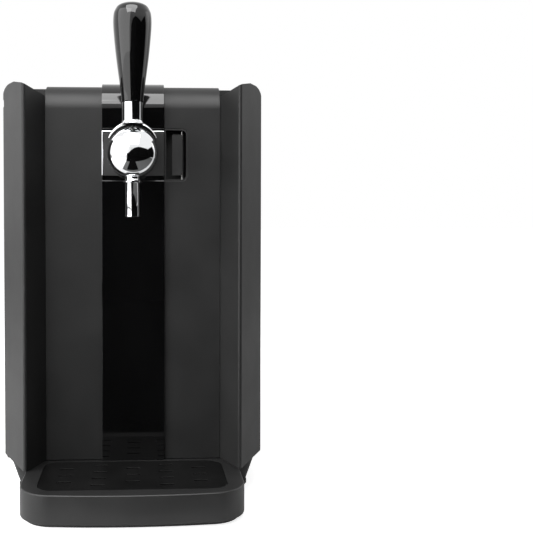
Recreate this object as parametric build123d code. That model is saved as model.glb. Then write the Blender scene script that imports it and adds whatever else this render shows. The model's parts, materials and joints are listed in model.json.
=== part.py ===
"""Counter-top dispenser for a small pressurised keg.

+X is the viewer's right, the front faces -Y and +Z is up. The origin is the middle of the footprint,
on the surface that the dispenser stands on. All sizes are in millimetres.
"""
import os
from math import asin, cos, radians, sin, sqrt

from build123d import *

# ---------------------------------------------------------------- overall sizes
body_width = 267.0
body_depth = 297.0          # door seam to the back
door_depth = 39.0           # face of the flat panel to the door seam
tray_reach = 108.0          # how far the tray stands out from the flat panel
panel_height = 379.0        # bottom edge of the door to the top of the flat panel
fin_slope_side = 13.0       # a fin's top falls from this far outside its ridge ...
fin_slope_drop = 12.0       # ... to this much below the top of the flat panel, at the panel
panel_width = 176.0         # flat panel between the fins
ridge_span = 208.0          # between the two fin ridges
ridge_reach = 40.0          # ridges stand this far ahead of the flat panel
knee_setback = 26.0         # widest point of a fin, behind the flat panel
knee_radius = 12.0
ridge_radius = 2.2
panel_edge_radius = 25.0    # rounded top front edge of the door
shoulder_radius = 10.0      # rounded top side edges
rear_corner_radius = 30.0
shell_wall = 2.5

# ---------------------------------------------------------------- clearances
seam_gap = 1.0              # door to body
skin_gap = 0.1              # between pieces that lie on each other
part_gap = 0.3              # between neighbouring mouldings
slide_gap = 0.3             # tray and its runners
bore_gap = 0.05             # radial, pins and shafts

# ---------------------------------------------------------------- base
foot_height = 1.2
foot_radius = 9.0
foot_plug_radius = 4.0
foot_inset = 30.0
floor_plate = 3.0
base_height = 32.0          # standing surface to the underside of the deck
deck_thickness = 3.0
plinth_top_inset = 6.0      # plinth side, in from the body's side, at its top
plinth_bottom_inset = 16.0
plinth_front_setback = 6.0  # plinth front behind the flat panel
plinth_rear_inset = 17.0
plinth_corner_radius = 20.0

# ---------------------------------------------------------------- drip tray
tray_width = 208.0
tray_front_bow = 4.0        # how far the middle of the tray front stands ahead of its corners
tray_corner_radius = 29.0
tray_wall = 2.5
tray_door_gap = 0.5         # tray rim to the bottom edge of the door
tray_panel_gap = 1.5        # rear of the tray to the flat panel, below the door
bowl_inset = 20.0
bowl_floor = 2.5
bowl_corner_radius = 5.0    # where the bowl's floor meets its wall
seat_depth = 3.0
seat_lip = 4.0
grid_thickness = 2.8
grid_slot_length = 14.0
grid_slot_width = 3.0
grid_column_pitch = 32.0
grid_row_pitch = 20.0
runner_width = 6.0
runner_height = 6.0
runner_length = 50.0
runner_inset = 8.0
apron_inset = 5.0

# ---------------------------------------------------------------- keg chamber
chamber_side = 16.0              # chamber wall, in from the body's side
chamber_head_room = 36.0         # chamber top below the top of the flat panel
chamber_corner_radius = 6.0      # corners of the opening in the front frame
liner_wall = 2.0
chamber_floor_rise = 5.0         # chamber floor above the top of the deck
insulation_top = 10.0
keg_mat_inset = 16.0
keg_mat_thickness = 1.7
coupling_radius = 12.0
coupling_drop = 10.0
coupling_flange = 18.0
coupling_bore_radius = 3.0
coupling_flange_thickness = 4.0
coupling_wall = 2.0
coupling_nipple = 2.0            # stands above the foam
seal_thickness = 2.0
sensor_radius = 3.0
sensor_rise = 60.0               # above the chamber floor
sensor_setback = 60.0            # ahead of the keg axis
sensor_tip = 3.0                 # stands inside the chamber
sensor_tail = 5.0                # stands outside the liner

# ---------------------------------------------------------------- cooling
bulkhead_thickness = 3.7
cold_plate_width = 80.0
cold_plate_height = 90.0
cold_plate_depth = 12.0          # liner back to the bulkhead
module_size = 40.0
module_thickness = 3.9
sink_width = 96.0
sink_height = 100.0
sink_base = 5.0
sink_fin_height = 20.0
sink_fin_thickness = 1.6
sink_fin_count = 11
sink_centre_height = 200.0
fan_size = 92.0
fan_depth = 13.0
fan_bore = 43.0
fan_hub_radius = 17.0
fan_blade_count = 7
fan_to_back = 4.7                # rear face of the fan, ahead of the dispenser's back
fan_shaft_radius = 2.0
fan_blade_thickness = 1.4
fan_blade_chord = 15.0
fan_blade_pitch = 32.0           # degrees
fan_strut_width = 4.0
fan_strut_thickness = 2.0
vent_width = 4.0
vent_pitch = 8.0
fan_screw_spacing = 82.0

# ---------------------------------------------------------------- tap
ball_radius = 24.5
ball_drop = 73.0            # ball centre below the top of the flat panel
ball_reach = 41.0           # ball centre ahead of the flat panel
neck_radius = 12.0
spout_radius = 6.85
spout_bore = 5.2
spout_drop = 60.0           # open end of the spout below the ball centre
spout_seat = 6.0            # how far the spout goes up into the ball
collar_drop = 6.0           # collar below the ball
collar_stand = 1.8
collar_height = 1.2
tap_tube_radius = 5.0       # free bore for the keg's tube
ball_bore_ease = 0.5        # the bore inside the ball is this much wider, radially
guide_wall = 1.0
guide_drop = 3.0            # tube bore below the ball centre
lever_pivot_rise = 20.0     # pivot above the ball centre
pivot_pin_radius = 2.0
shank_radius = 3.0
shank_hub_radius = 4.5
shank_arm = 12.0            # below the pivot
shank_slot_half = 3.8       # half the width of the slot that the shank swings in
shank_slot_front = 8.0
plunger_rise = 9.0
plunger_length = 16.0
hood_gap = 2.5
hood_thickness = 4.0
hood_front = 2.0            # hood ahead of the ball centre
hood_back = 20.0
ferrule_radius = 10.0
ferrule_rise = 49.5         # top of the ferrule above the ball centre
shank_top_gap = 9.0         # shank stops this much below the ferrule's top
handle_height = 94.0
handle_radius = 18.4
handle_foot_radius = 10.4
stud_radius = 4.0
stud_length = 14.0

# ---------------------------------------------------------------- strip, tap plate and recess
strip_width = 63.0
strip_rise = 3.0            # strip face ahead of the flat panel
tap_window_side = 2.5       # left edge of the panel's window, in from the centre strip's side
window_drop = 24.0          # bottom of the tap window below the ball centre
window_height = 52.5
plate_bottom_gap = 5.0
plate_top_gap = 2.5
plate_pocket_depth = 1.8
plate_stand = 0.5           # plate face ahead of the strip face
trim_width = 1.9
trim_stand = 0.4
recess_width = 23.5
recess_depth = 20.0
recess_corner_radius = 6.0
cup_wall = 1.5
release_pin_radius = 1.5
release_pin_side = 3.7      # pin in from the recess's inner right wall
release_pin_setback = 10.0  # pin behind the flat panel
release_hub_radius = 3.0
release_bar_width = 10.0
release_bar_height = 41.0
release_bar_thickness = 3.0
release_bar_setback = 2.0
release_bar_gap = 0.5
release_web_thickness = 3.0
release_web_inset = 4.0
tail_length = 14.0
tail_height = 10.0
tail_thickness = 1.2
tail_tip_radius = 1.5
slide_height = 12.0
slide_front = 4.0
slide_back = 1.2
slide_overhang = 6.0        # slide's left end beyond the release pin
slide_side = 12.0           # slide's right end, in from the body's side
slide_slot_half = 1.9
slide_block = 14.0
slide_room = 5.0
magnet_width = 12.0
magnet_height = 10.0
magnet_depth = 3.2
magnet_stand = 0.2
keeper_side = 18.0          # keeper's middle, in from the body's side
keeper_half = 7.0
keeper_thickness = 1.5
spring_turns = 6
spring_pitch = 1.1
spring_radius = 2.0
spring_wire_radius = 0.35
spring_side = 5.5
spring_rise = 14.0
spring_seat_gap = 0.1

# ---------------------------------------------------------------- door
post_radius = 4.0
post_side = 5.0             # posts in from the fins' ridges
post_low = 16.0
post_high = 8.0             # upper posts below the rounded top edge
door_screw_length = 14.0
inner_panel_side = 8.0
inner_panel_lift = 3.0
insulation_side = 4.0
gasket_side = 5.0
gasket_lip = 2.0            # gasket's inner edge, outside the chamber wall
gasket_reach = 6.0
gasket_inner_reach = 1.5
gasket_outer_corner = 8.0
gasket_inner_corner = 5.0
gasket_notch = 3.0

# ---------------------------------------------------------------- hinge and fasteners
hinge_offset = 6.5          # hinge axis in from the door's side and rear faces
hinge_pin_radius = 2.5
hinge_slot_height = 8.0
hinge_arm_thickness = 4.0
hinge_pin_length = 22.0
hinge_arm_width = 7.8
hinge_arm_drop = 1.0        # lower arm below the door
hinge_reach = 15.0          # lower arm's root behind the seam
bracket_left = 3.0
bracket_right = 14.0
bracket_drop = 10.0
bracket_clear = 4.0
screw_radius = 1.6
screw_head_radius = 3.2
screw_head_height = 1.6
boss_radius = 4.0

# ---------------------------------------------------------------- electrics and air
inlet_side = 47.0           # mains inlet's middle, in from the body's side
inlet_z = 62.0
rocker_z = 98.0
inlet_width = 28.0
inlet_height = 20.0
inlet_depth = 22.0
inlet_wall = 2.0
inlet_floor = 6.0
contact_pitch = 7.0
contact_drop = 3.0
contact_width = 2.0
contact_height = 4.0
contact_setback = 4.0
rocker_width = 15.0
rocker_height = 21.0
rocker_depth = 16.0
rocker_tilt = 10.0
rocker_wall = 1.5
rocker_side_gap = 0.3
rocker_end_gap = 1.0
rocker_thickness = 6.0
rocker_pivot_setback = 6.0
rocker_pin_radius = 1.0
rocker_pin_end = 0.7
rocker_dish = 2.1           # rocker's faces slope away from this height above its pivot
supply_width = 38.0
supply_height = 95.0
supply_gap = 4.0            # between the power supply and the nearest screw boss
supply_rear_gap = 3.0
lead_radius = 2.5
lead_setback = 9.0
lead_rest_height = 6.0
lead_end_height = 14.0
pump_radius = 16.0
pump_length = 60.0
pump_z = 230.0
pump_side_gap = 12.0
pump_ear = 4.0
pump_ear_height = 14.0
nozzle_length = 22.0
nozzle_wall = 0.8           # hose wall round the nozzle
hose_radius = 3.0
hose_rise = 8.0             # hose above the chamber foam
board_width = 96.0
board_depth = 44.0
board_thickness = 1.6
board_drop = 10.5
board_setback = 8.0
board_post_inset = 5.0
board_post_radius = 2.5
chip_side = 11.0
chip_spread = 8.0
chip_width = 7.0
chip_height = 3.4
display_width = 64.0
display_length = 30.0
display_sink = 0.4

# ---------------------------------------------------------------- worked out from the above
body_half = body_width / 2
panel_half = panel_width / 2
ridge_half = ridge_span / 2
strip_half = strip_width / 2
front_y = -(tray_reach + door_depth + body_depth) / 2
panel_y = front_y + tray_reach
seam_y = panel_y + door_depth
rear_y = seam_y + body_depth
ridge_y = panel_y - ridge_reach
knee_y = panel_y + knee_setback
door_rear_y = seam_y - seam_gap
strip_y = panel_y - strip_rise

deck_top = base_height + deck_thickness
door_bottom = base_height
panel_top = door_bottom + panel_height
cover_bottom = panel_top - shoulder_radius - part_gap
ball_height = panel_top - ball_drop
window_bottom = ball_height - window_drop
window_top = window_bottom + window_height

floor_bottom = foot_height
floor_top = floor_bottom + floor_plate
tray_bottom = floor_top + slide_gap
tray_top = door_bottom - tray_door_gap
tray_half = tray_width / 2
tray_rear_y = panel_y + tray_panel_gap
plinth_front_y = panel_y + plinth_front_setback

chamber_radius = body_half - chamber_side
liner_radius = chamber_radius + liner_wall
keg_mat_radius = chamber_radius - keg_mat_inset
chamber_bottom = deck_top + chamber_floor_rise
chamber_top = panel_top - chamber_head_room
chamber_height = chamber_top - chamber_bottom
fan_rear_y = rear_y - fan_to_back
fan_y = fan_rear_y - fan_depth
sink_rear_y = fan_y - part_gap
sink_y = sink_rear_y - sink_fin_height - sink_base
bulkhead_y = sink_y - skin_gap - module_thickness
bulkhead_rear_y = bulkhead_y + bulkhead_thickness
liner_back_y = bulkhead_y - cold_plate_depth
chamber_y = liner_back_y - liner_radius
foam_top = chamber_top + liner_wall + insulation_top
cover_inner_y = rear_y - shell_wall
inner_half = body_half - shell_wall - part_gap
frame_top = cover_bottom - part_gap

ball_y = panel_y - ball_reach
plate_face_y = strip_y - plate_stand
pivot_z = ball_height + lever_pivot_rise
ferrule_top = ball_height + ferrule_rise
spout_tip_height = ball_height - spout_drop
guide_z = ball_height - guide_drop
plunger_z = ball_height + plunger_rise
hood_inner = ball_radius + hood_gap
hood_outer = hood_inner + hood_thickness

hinge_x = -(body_half - hinge_offset)
hinge_y = door_rear_y - hinge_offset
hinge_slot_z = panel_top - 17.0
recess_left = strip_half + skin_gap
recess_right = recess_left + recess_width
release_x = recess_right - cup_wall - release_pin_side
release_y = panel_y + release_pin_setback
release_z = window_bottom + window_height / 2
slide_left = release_x - slide_overhang
slide_right = body_half - slide_side
slide_y = release_y + tail_length - slide_front / 2
keeper_x = body_half - keeper_side
inlet_x = -(body_half - inlet_side)
supply_x = body_half - rear_corner_radius - boss_radius - supply_gap - supply_width
pump_x = -(sink_width / 2 + pump_side_gap + pump_radius)
pump_y = bulkhead_rear_y + skin_gap + pump_radius
hose_z = foam_top + hose_rise
board_z = panel_top - shell_wall - board_drop
board_y = seam_y + board_setback + board_depth / 2
inner_panel_y = door_rear_y
inner_panel_front = inner_panel_y - shell_wall
column_side = 2 * hinge_offset + 3   # room that the hinge column takes, in from the door's side

LEFT = -1
RIGHT = 1


# ---------------------------------------------------------------- helpers
def block(x0, x1, y0, y1, z0, z1):
    """A box between two corners."""
    return Pos((x0 + x1) / 2, (y0 + y1) / 2, (z0 + z1) / 2) * Box(x1 - x0, y1 - y0, z1 - z0)


def rod_x(radius, x0, x1, y, z):
    return Pos((x0 + x1) / 2, y, z) * Rot(0, 90, 0) * Cylinder(radius, x1 - x0)


def rod_y(radius, x, y0, y1, z):
    return Pos(x, (y0 + y1) / 2, z) * Rot(90, 0, 0) * Cylinder(radius, y1 - y0)


def rod_z(radius, x, y, z0, z1):
    return Pos(x, y, (z0 + z1) / 2) * Cylinder(radius, z1 - z0)


def prism(sketch, z0, z1):
    """A flat outline in XY raised from z0 to z1."""
    return extrude(Pos(0, 0, z0) * sketch, z1 - z0, dir=(0, 0, 1))


def slab_y(sketch, y0, y1):
    """An outline drawn in X and Z, thickened from y0 to y1."""
    return extrude(Plane.XZ.offset(-y0) * sketch, y1 - y0, dir=(0, 1, 0))


def upright_edges(solid, x, y, reach=0.5):
    """The vertical edges that stand at x, y."""
    return [e for e in solid.edges().filter_by(Axis.Z)
            if abs(e.center().X - x) < reach and abs(e.center().Y - y) < reach]


def body_outline(inset, y0, y1):
    """The body's plan with rounded rear corners, drawn in by an inset at its sides."""
    half = body_half - inset
    plan = Pos(0, (y0 + y1) / 2) * Rectangle(2 * half, y1 - y0)
    return fillet(plan.vertices().sort_by(Axis.Y)[-2:], max(rear_corner_radius - inset, 1.0))


def chamber_outline(radius, y0):
    """A U in plan: straight sides from y0 to the keg axis, then half a circle."""
    straight = Pos(0, (y0 + chamber_y) / 2) * Rectangle(2 * radius, chamber_y - y0)
    back = Circle(radius) & Pos(0, radius) * Rectangle(2 * radius, 2 * radius)
    return straight + Pos(0, chamber_y) * back


def silhouette(top, radius):
    """The body seen from the front, with rounded shoulders, as a long bar to cut others with."""
    drop = 4 * radius
    outline = Pos(0, top / 2 - drop / 2) * RectangleRounded(body_width, top + drop, radius)
    return slab_y(outline, 2 * front_y, 2 * rear_y)


def bent_sheet(face_y, top, radius, thickness, half, bottom, back_y):
    """A front sheet that turns over the door's rounded top edge."""
    outer = Polyline((face_y + radius, top), (back_y, top), (back_y, top - thickness),
                     (face_y + radius, top - thickness))
    front = Polyline((face_y + thickness, top - radius), (face_y + thickness, bottom),
                     (face_y, bottom), (face_y, top - radius))
    centre = (face_y + radius, top - radius)
    bends = CenterArc(centre, radius, 90, 90) + CenterArc(centre, radius - thickness, 90, 90)
    profile = make_face((outer + front + bends).edges())
    return extrude(Plane.YZ * profile, half, both=True)


# ---------------------------------------------------------------- base
def plinth_block(wall, z0, z1):
    """The recessed plinth, narrower at its foot; a wall thickness draws it in."""
    sections = []
    rise = base_height - floor_top
    for z in (z0, z1):
        share = (z - floor_top) / rise
        side = plinth_bottom_inset + (plinth_top_inset - plinth_bottom_inset) * share
        half = body_half - side - wall
        y0 = plinth_front_y + wall
        y1 = rear_y - plinth_rear_inset - wall
        corner = plinth_corner_radius - wall
        sections.append(Pos(0, (y0 + y1) / 2, z) * RectangleRounded(2 * half, y1 - y0, corner))
    return loft(sections)


def runner_channels(gap):
    """The two tray runners, or with a gap the slots that they slide in."""
    bars = []
    for side in (LEFT, RIGHT):
        outer = side * (tray_half - runner_inset + gap)
        inner = side * (tray_half - runner_inset - runner_width - gap)
        bars.append(block(min(inner, outer), max(inner, outer), tray_rear_y - gap,
                          tray_rear_y + runner_length + gap,
                          tray_bottom - gap, tray_bottom + runner_height + gap))
    return bars


def foot_places():
    front = front_y + tray_corner_radius + foot_radius
    back = rear_y - plinth_rear_inset - foot_inset
    x = body_half - plinth_bottom_inset - foot_inset
    return [(side * x, y) for side in (LEFT, RIGHT) for y in (front, back)]


def tray_outline(inset):
    """The tray's plan: a gently bowed front with large corners, drawn in by an inset."""
    chord = tray_half - tray_corner_radius
    bow_radius = (chord ** 2 + tray_front_bow ** 2) / (2 * tray_front_bow)
    lean = asin(chord / bow_radius)
    corner = tray_corner_radius / (1 - sin(lean))
    side_y = front_y + tray_front_bow + corner * cos(lean)
    mid = radians(45) + lean / 2
    sketch_edges = []
    for side in (LEFT, RIGHT):
        hub_x = side * (tray_half - corner)
        sketch_edges.append(Line((side * tray_half, tray_rear_y), (side * tray_half, side_y)))
        sketch_edges.append(ThreePointArc(
            (side * tray_half, side_y),
            (hub_x + side * corner * sin(mid), side_y - corner * cos(mid)),
            (side * chord, front_y + tray_front_bow)))
    sketch_edges.append(ThreePointArc((-chord, front_y + tray_front_bow), (0, front_y),
                                      (chord, front_y + tray_front_bow)))
    sketch_edges.append(Line((-tray_half, tray_rear_y), (tray_half, tray_rear_y)))
    plan = make_face(sketch_edges)
    if inset:
        plan = offset(plan, -inset)
    return plan


def hinge_arm(z0, z1, back_y):
    """A flat arm that carries a hinge pin, with an eye round the pin."""
    half = hinge_arm_width / 2
    arm = block(hinge_x - half, hinge_x + half, hinge_y, back_y, z0, z1)
    return arm + rod_z(hinge_offset - 1.5, hinge_x, hinge_y, z0, z1)


def base_parts():
    rear_edge = rear_y - plinth_rear_inset
    floor = prism(tray_outline(apron_inset), floor_bottom, floor_top)
    plinth_half = body_half - plinth_bottom_inset
    floor += prism(Pos(0, (tray_rear_y - 1 + rear_edge) / 2)
                   * RectangleRounded(2 * plinth_half, rear_edge - tray_rear_y + 1,
                                      plinth_corner_radius), floor_bottom, floor_top)
    floor += block(apron_inset - tray_half, tray_half - apron_inset, tray_rear_y - apron_inset - 1,
                   tray_rear_y + plinth_corner_radius, floor_bottom, floor_top)
    plinth = plinth_block(0, floor_top, tray_top)
    plinth -= plinth_block(shell_wall, floor_top, tray_top - shell_wall)
    deck = prism(body_outline(shell_wall + part_gap, seam_y + part_gap, cover_inner_y - part_gap),
                 base_height, deck_top)
    deck += block(plinth_top_inset + 5 - body_half, body_half - plinth_top_inset - 5,
                  seam_y + 2, rear_edge - plinth_corner_radius, tray_top - 0.5, deck_top)
    ear_back = seam_y + hinge_reach
    ear_top = base_height - hinge_arm_drop
    ear = hinge_arm(ear_top - hinge_arm_thickness, ear_top, ear_back)
    ear += block(hinge_x - bracket_left, plinth_top_inset + 2 - body_half, seam_y + 2, ear_back,
                 ear_top - hinge_arm_thickness, base_height + 1)
    frame = floor + plinth + deck + ear
    for slot in runner_channels(slide_gap):
        frame -= slot
    for x, y in foot_places():
        frame -= rod_z(foot_plug_radius + bore_gap, x, y, floor_bottom - 1, floor_top + 1)
    pin_hole = rod_z(hinge_pin_radius, hinge_x, hinge_y, base_height - 8, base_height + 1)
    frame -= pin_hole
    feet = [rod_z(foot_radius, x, y, 0, foot_height)
            + rod_z(foot_plug_radius, x, y, foot_height, floor_top) for x, y in foot_places()]
    return {"base_frame": frame, "rubber_feet": Compound(children=feet)}


def tray_parts():
    tray = prism(tray_outline(0), tray_bottom, tray_top)
    tray = fillet([e for e in tray.edges().filter_by(GeomType.CIRCLE)
                   if abs(e.center().Z - tray_bottom) < 0.1 or abs(e.center().Z - tray_top) < 0.1], 1.2)
    tray -= prism(tray_outline(tray_wall), tray_bottom - 1, tray_top - seat_depth - tray_wall)
    rim = bowl_inset - seat_lip
    seat_y0 = front_y + tray_front_bow + rim - 4
    seat_y1 = tray_rear_y - 6
    seat_plan = Pos(0, (seat_y0 + seat_y1) / 2) * RectangleRounded(
        2 * (tray_half - rim), seat_y1 - seat_y0, 16)
    bowl_y0 = seat_y0 + seat_lip
    bowl_y1 = seat_y1 - seat_lip
    bowl_plan = Pos(0, (bowl_y0 + bowl_y1) / 2) * RectangleRounded(
        2 * (tray_half - bowl_inset), bowl_y1 - bowl_y0, 13)
    tray += prism(offset(bowl_plan, tray_wall), tray_bottom, tray_top - seat_depth - 1)
    bowl = prism(bowl_plan, tray_bottom + bowl_floor, tray_top + 1)
    tray -= fillet(bowl.edges().group_by(Axis.Z)[0], bowl_corner_radius)
    tray -= prism(seat_plan, tray_top - seat_depth, tray_top + 1)
    for bar in runner_channels(0):
        tray += bar

    grid_z = tray_top - seat_depth + bore_gap
    grid = prism(offset(seat_plan, -part_gap), grid_z, grid_z + grid_thickness)
    middle_y = (seat_y0 + seat_y1) / 2
    slots = []
    for column in range(-2, 3):
        shift = grid_row_pitch / 2 if column % 2 else 0
        for row in range(-2, 2 if column % 2 else 3):
            y = middle_y + row * grid_row_pitch + shift
            if abs(y - middle_y) < (bowl_y1 - bowl_y0) / 2 - grid_slot_width:
                slots.append(Pos(column * grid_column_pitch, y) * SlotOverall(
                    grid_slot_length, grid_slot_width))
    for slot in slots:
        grid -= prism(slot, grid_z - 1, tray_top + 1)
    return {"drip_tray": tray, "drip_grid": grid}


# ---------------------------------------------------------------- outer casing
def rear_vents(cover):
    """Slots in the rear wall: a round field over the fan and a strip near the top."""
    cuts = []
    count = int(fan_bore // vent_pitch)
    for row in range(-count, count + 1):
        z = sink_centre_height + row * vent_pitch
        half = sqrt(fan_bore ** 2 - (row * vent_pitch) ** 2)
        cuts.append((z, half))
    top_row = cover_bottom - 22.0
    for row in range(4):
        cuts.append((top_row - row * vent_pitch, 60.0))
    for z, half in cuts:
        slot = Pos(0, z) * SlotOverall(2 * half, vent_width)
        cover -= slab_y(slot, cover_inner_y - 1, rear_y + 1)
    return cover


def screw_places():
    """Rear screws: four hold the fan, four hold the cover to the bulkhead."""
    fan = fan_screw_spacing / 2
    corners = [(side * fan, sink_centre_height + lift * fan) for side in (LEFT, RIGHT) for lift in (-1, 1)]
    edge = body_half - rear_corner_radius
    low = deck_top + 14.0
    high = frame_top - 12.0
    return corners, [(side * edge, z) for side in (LEFT, RIGHT) for z in (low, high)]


def casing_parts():
    split_y = liner_back_y - 4.0
    sides = {}
    for name, side in (("left_side_panel", LEFT), ("right_side_panel", RIGHT)):
        outer = side * body_half
        inner = side * (body_half - shell_wall)
        sides[name] = block(min(outer, inner), max(outer, inner), seam_y, split_y,
                            base_height, cover_bottom - part_gap)

    shell = prism(body_outline(0, split_y + part_gap, rear_y), base_height, cover_bottom - part_gap)
    shell -= prism(body_outline(shell_wall, split_y - 5, cover_inner_y), base_height - 1, cover_bottom)
    cover = rear_vents(shell)
    fan_holes, cover_holes = screw_places()
    for x, z in fan_holes:
        cover += rod_y(boss_radius, x, fan_rear_y + skin_gap, rear_y - 1, z)
    for x, z in cover_holes:
        cover += rod_y(boss_radius, x, bulkhead_rear_y + skin_gap, rear_y - 1, z)
    for x, z in fan_holes + cover_holes:
        cover -= rod_y(screw_radius + bore_gap, x, bulkhead_y, rear_y + 1, z)
        cover -= rod_y(screw_head_radius + skin_gap, x, rear_y - screw_head_height - skin_gap, rear_y + 1, z)
    cover -= inlet_window(skin_gap)
    cover -= rocker_window(skin_gap)

    top = prism(body_outline(0, seam_y, rear_y), cover_bottom, panel_top)
    top &= silhouette(panel_top, shoulder_radius)
    hollow = prism(body_outline(shell_wall, seam_y + shell_wall, cover_inner_y),
                   cover_bottom - 1, panel_top - shell_wall)
    top -= hollow & silhouette(panel_top - shell_wall, shoulder_radius)
    top -= display_opening(skin_gap, panel_top - shell_wall - 1, panel_top + 1)
    for x, y in board_posts():
        top += rod_z(board_post_radius, x, y, board_z + board_thickness + skin_gap, panel_top - 1)

    half = body_half - shell_wall - part_gap
    ring = slab_y(Pos(0, (deck_top + part_gap + frame_top) / 2)
                  * Rectangle(2 * half, frame_top - deck_top - part_gap), seam_y, seam_y + shell_wall)
    opening = Pos(0, (chamber_bottom + chamber_top) / 2) * RectangleRounded(
        2 * chamber_radius, chamber_height, chamber_corner_radius)
    ring -= slab_y(opening, seam_y - 1, seam_y + shell_wall + 1)
    arm_gap = hinge_offset - 1.0
    ring -= block(hinge_x - arm_gap, hinge_x + arm_gap, seam_y - 1, seam_y + shell_wall + 1,
                  hinge_slot_z - hinge_arm_thickness / 2 - part_gap,
                  hinge_slot_z + hinge_arm_thickness / 2 + part_gap)
    ring -= keeper_block(skin_gap)

    bulkhead = block(-inner_half, inner_half, bulkhead_y, bulkhead_rear_y, deck_top + part_gap, frame_top)
    window = module_size / 2 + 4
    bulkhead -= block(-window, window, bulkhead_y - 1, bulkhead_rear_y + 1,
                      sink_centre_height - window, sink_centre_height + window)
    for x, z in sink_screw_places() + cover_holes:
        bulkhead -= rod_y(screw_radius, x, bulkhead_y - 1, bulkhead_rear_y + 1, z)
    bulkhead -= block(pump_x - 2 * hose_radius, pump_x + 5 * hose_radius, bulkhead_y - 1,
                      bulkhead_rear_y + 1, hose_z - 1.5 * hose_radius, frame_top + 1)

    arm_low = hinge_slot_z - hinge_arm_thickness / 2
    bracket = hinge_arm(arm_low, arm_low + hinge_arm_thickness, seam_y + 2 * shell_wall)
    bracket += block(hinge_x - bracket_left, hinge_x + bracket_right, seam_y + shell_wall + skin_gap,
                     seam_y + 2 * shell_wall + skin_gap, arm_low - bracket_drop,
                     arm_low + hinge_arm_thickness)
    bracket -= rod_z(hinge_pin_radius, hinge_x, hinge_y, arm_low - 1, arm_low + hinge_arm_thickness + 1)
    pins = [rod_z(hinge_pin_radius, hinge_x, hinge_y,
                  base_height - hinge_arm_drop - hinge_arm_thickness, base_height + hinge_pin_length),
            rod_z(hinge_pin_radius, hinge_x, hinge_y, arm_low - hinge_pin_length,
                  arm_low + hinge_arm_thickness)]
    parts = {"rear_cover": cover, "top_cover": top, "front_frame": ring, "rear_bulkhead": bulkhead,
             "top_hinge_bracket": bracket, "hinge_pins": Compound(children=pins),
             "keeper_plate": keeper_block(0)}
    parts.update(sides)
    screws = []
    for x, z in fan_holes:
        screws.append(rod_y(screw_radius, x, fan_y + 1, rear_y - screw_head_height, z)
                      + rod_y(screw_head_radius, x, rear_y - screw_head_height, rear_y, z))
    for x, z in cover_holes:
        screws.append(rod_y(screw_radius, x, bulkhead_y + 0.5, rear_y - screw_head_height, z)
                      + rod_y(screw_head_radius, x, rear_y - screw_head_height, rear_y, z))
    parts["rear_screws"] = Compound(children=screws)
    return parts


def keeper_block(gap):
    """Steel keeper let into the front frame, facing the release slide's magnet."""
    half = keeper_half + gap
    return block(keeper_x - half, keeper_x + half, seam_y - gap, seam_y + keeper_thickness + gap,
                 release_z - half, release_z + half)


# ---------------------------------------------------------------- keg chamber
def chamber_parts():
    front = seam_y + shell_wall + skin_gap
    liner = prism(chamber_outline(liner_radius, front), chamber_bottom - liner_wall,
                  chamber_top + liner_wall)
    liner -= prism(chamber_outline(chamber_radius, front - 1), chamber_bottom, chamber_top)
    liner -= rod_z(coupling_radius + bore_gap, 0, chamber_y, chamber_top - 1, chamber_top + liner_wall + 1)
    sensor_y = chamber_y - sensor_setback
    sensor_z = chamber_bottom + sensor_rise
    sensor = rod_x(sensor_radius, -liner_radius - sensor_tail, -chamber_radius + sensor_tip,
                   sensor_y, sensor_z)
    sensor_hole = rod_x(sensor_radius + bore_gap, -liner_radius - sensor_tail - 1, -chamber_radius + 1,
                        sensor_y, sensor_z)
    liner -= sensor_hole

    foam = block(-inner_half, inner_half, front, bulkhead_y - skin_gap,
                 deck_top + skin_gap, foam_top)
    foam -= prism(chamber_outline(liner_radius + skin_gap, front - 1),
                  chamber_bottom - liner_wall - skin_gap, chamber_top + liner_wall + skin_gap)
    half = cold_plate_width / 2 + skin_gap
    lift = cold_plate_height / 2 + skin_gap
    foam -= block(-half, half, chamber_y, bulkhead_y + 1, sink_centre_height - lift,
                  sink_centre_height + lift)
    foam -= rod_z(coupling_flange + skin_gap, 0, chamber_y, chamber_top, foam_top + 1)
    foam -= sensor_hole
    foam -= block(hinge_x - bracket_clear, hinge_x + bracket_right + 1, front - 1,
                  seam_y + 2 * shell_wall + 1, hinge_slot_z - bracket_drop - bracket_clear,
                  hinge_slot_z + bracket_clear)

    mat = rod_z(keg_mat_radius, 0, chamber_y, chamber_bottom, chamber_bottom + keg_mat_thickness)

    flange_z = chamber_top + liner_wall
    coupling = rod_z(coupling_radius, 0, chamber_y, chamber_top - coupling_drop, flange_z + 1)
    coupling += rod_z(coupling_flange, 0, chamber_y, flange_z, flange_z + coupling_flange_thickness)
    coupling += rod_z(coupling_bore_radius + coupling_wall, 0, chamber_y, flange_z,
                      foam_top + coupling_nipple)
    coupling -= rod_z(coupling_bore_radius, 0, chamber_y, chamber_top - coupling_drop - 1, foam_top + 3)
    seal_z = chamber_top - coupling_drop
    seal = rod_z(coupling_radius - coupling_wall, 0, chamber_y, seal_z - seal_thickness, seal_z)
    seal -= rod_z(coupling_bore_radius + 1, 0, chamber_y, seal_z - seal_thickness - 1, seal_z + 1)
    return {"keg_chamber_liner": liner, "chamber_insulation": foam, "keg_mat": mat,
            "air_coupling": coupling, "coupling_seal": seal, "temperature_sensor": sensor}


# ---------------------------------------------------------------- cooling
def sink_screw_places():
    x = sink_width / 2 - 4.0
    z = sink_height / 2 - 6.0
    return [(side * x, sink_centre_height + lift * z) for side in (LEFT, RIGHT) for lift in (-1, 1)]


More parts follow.
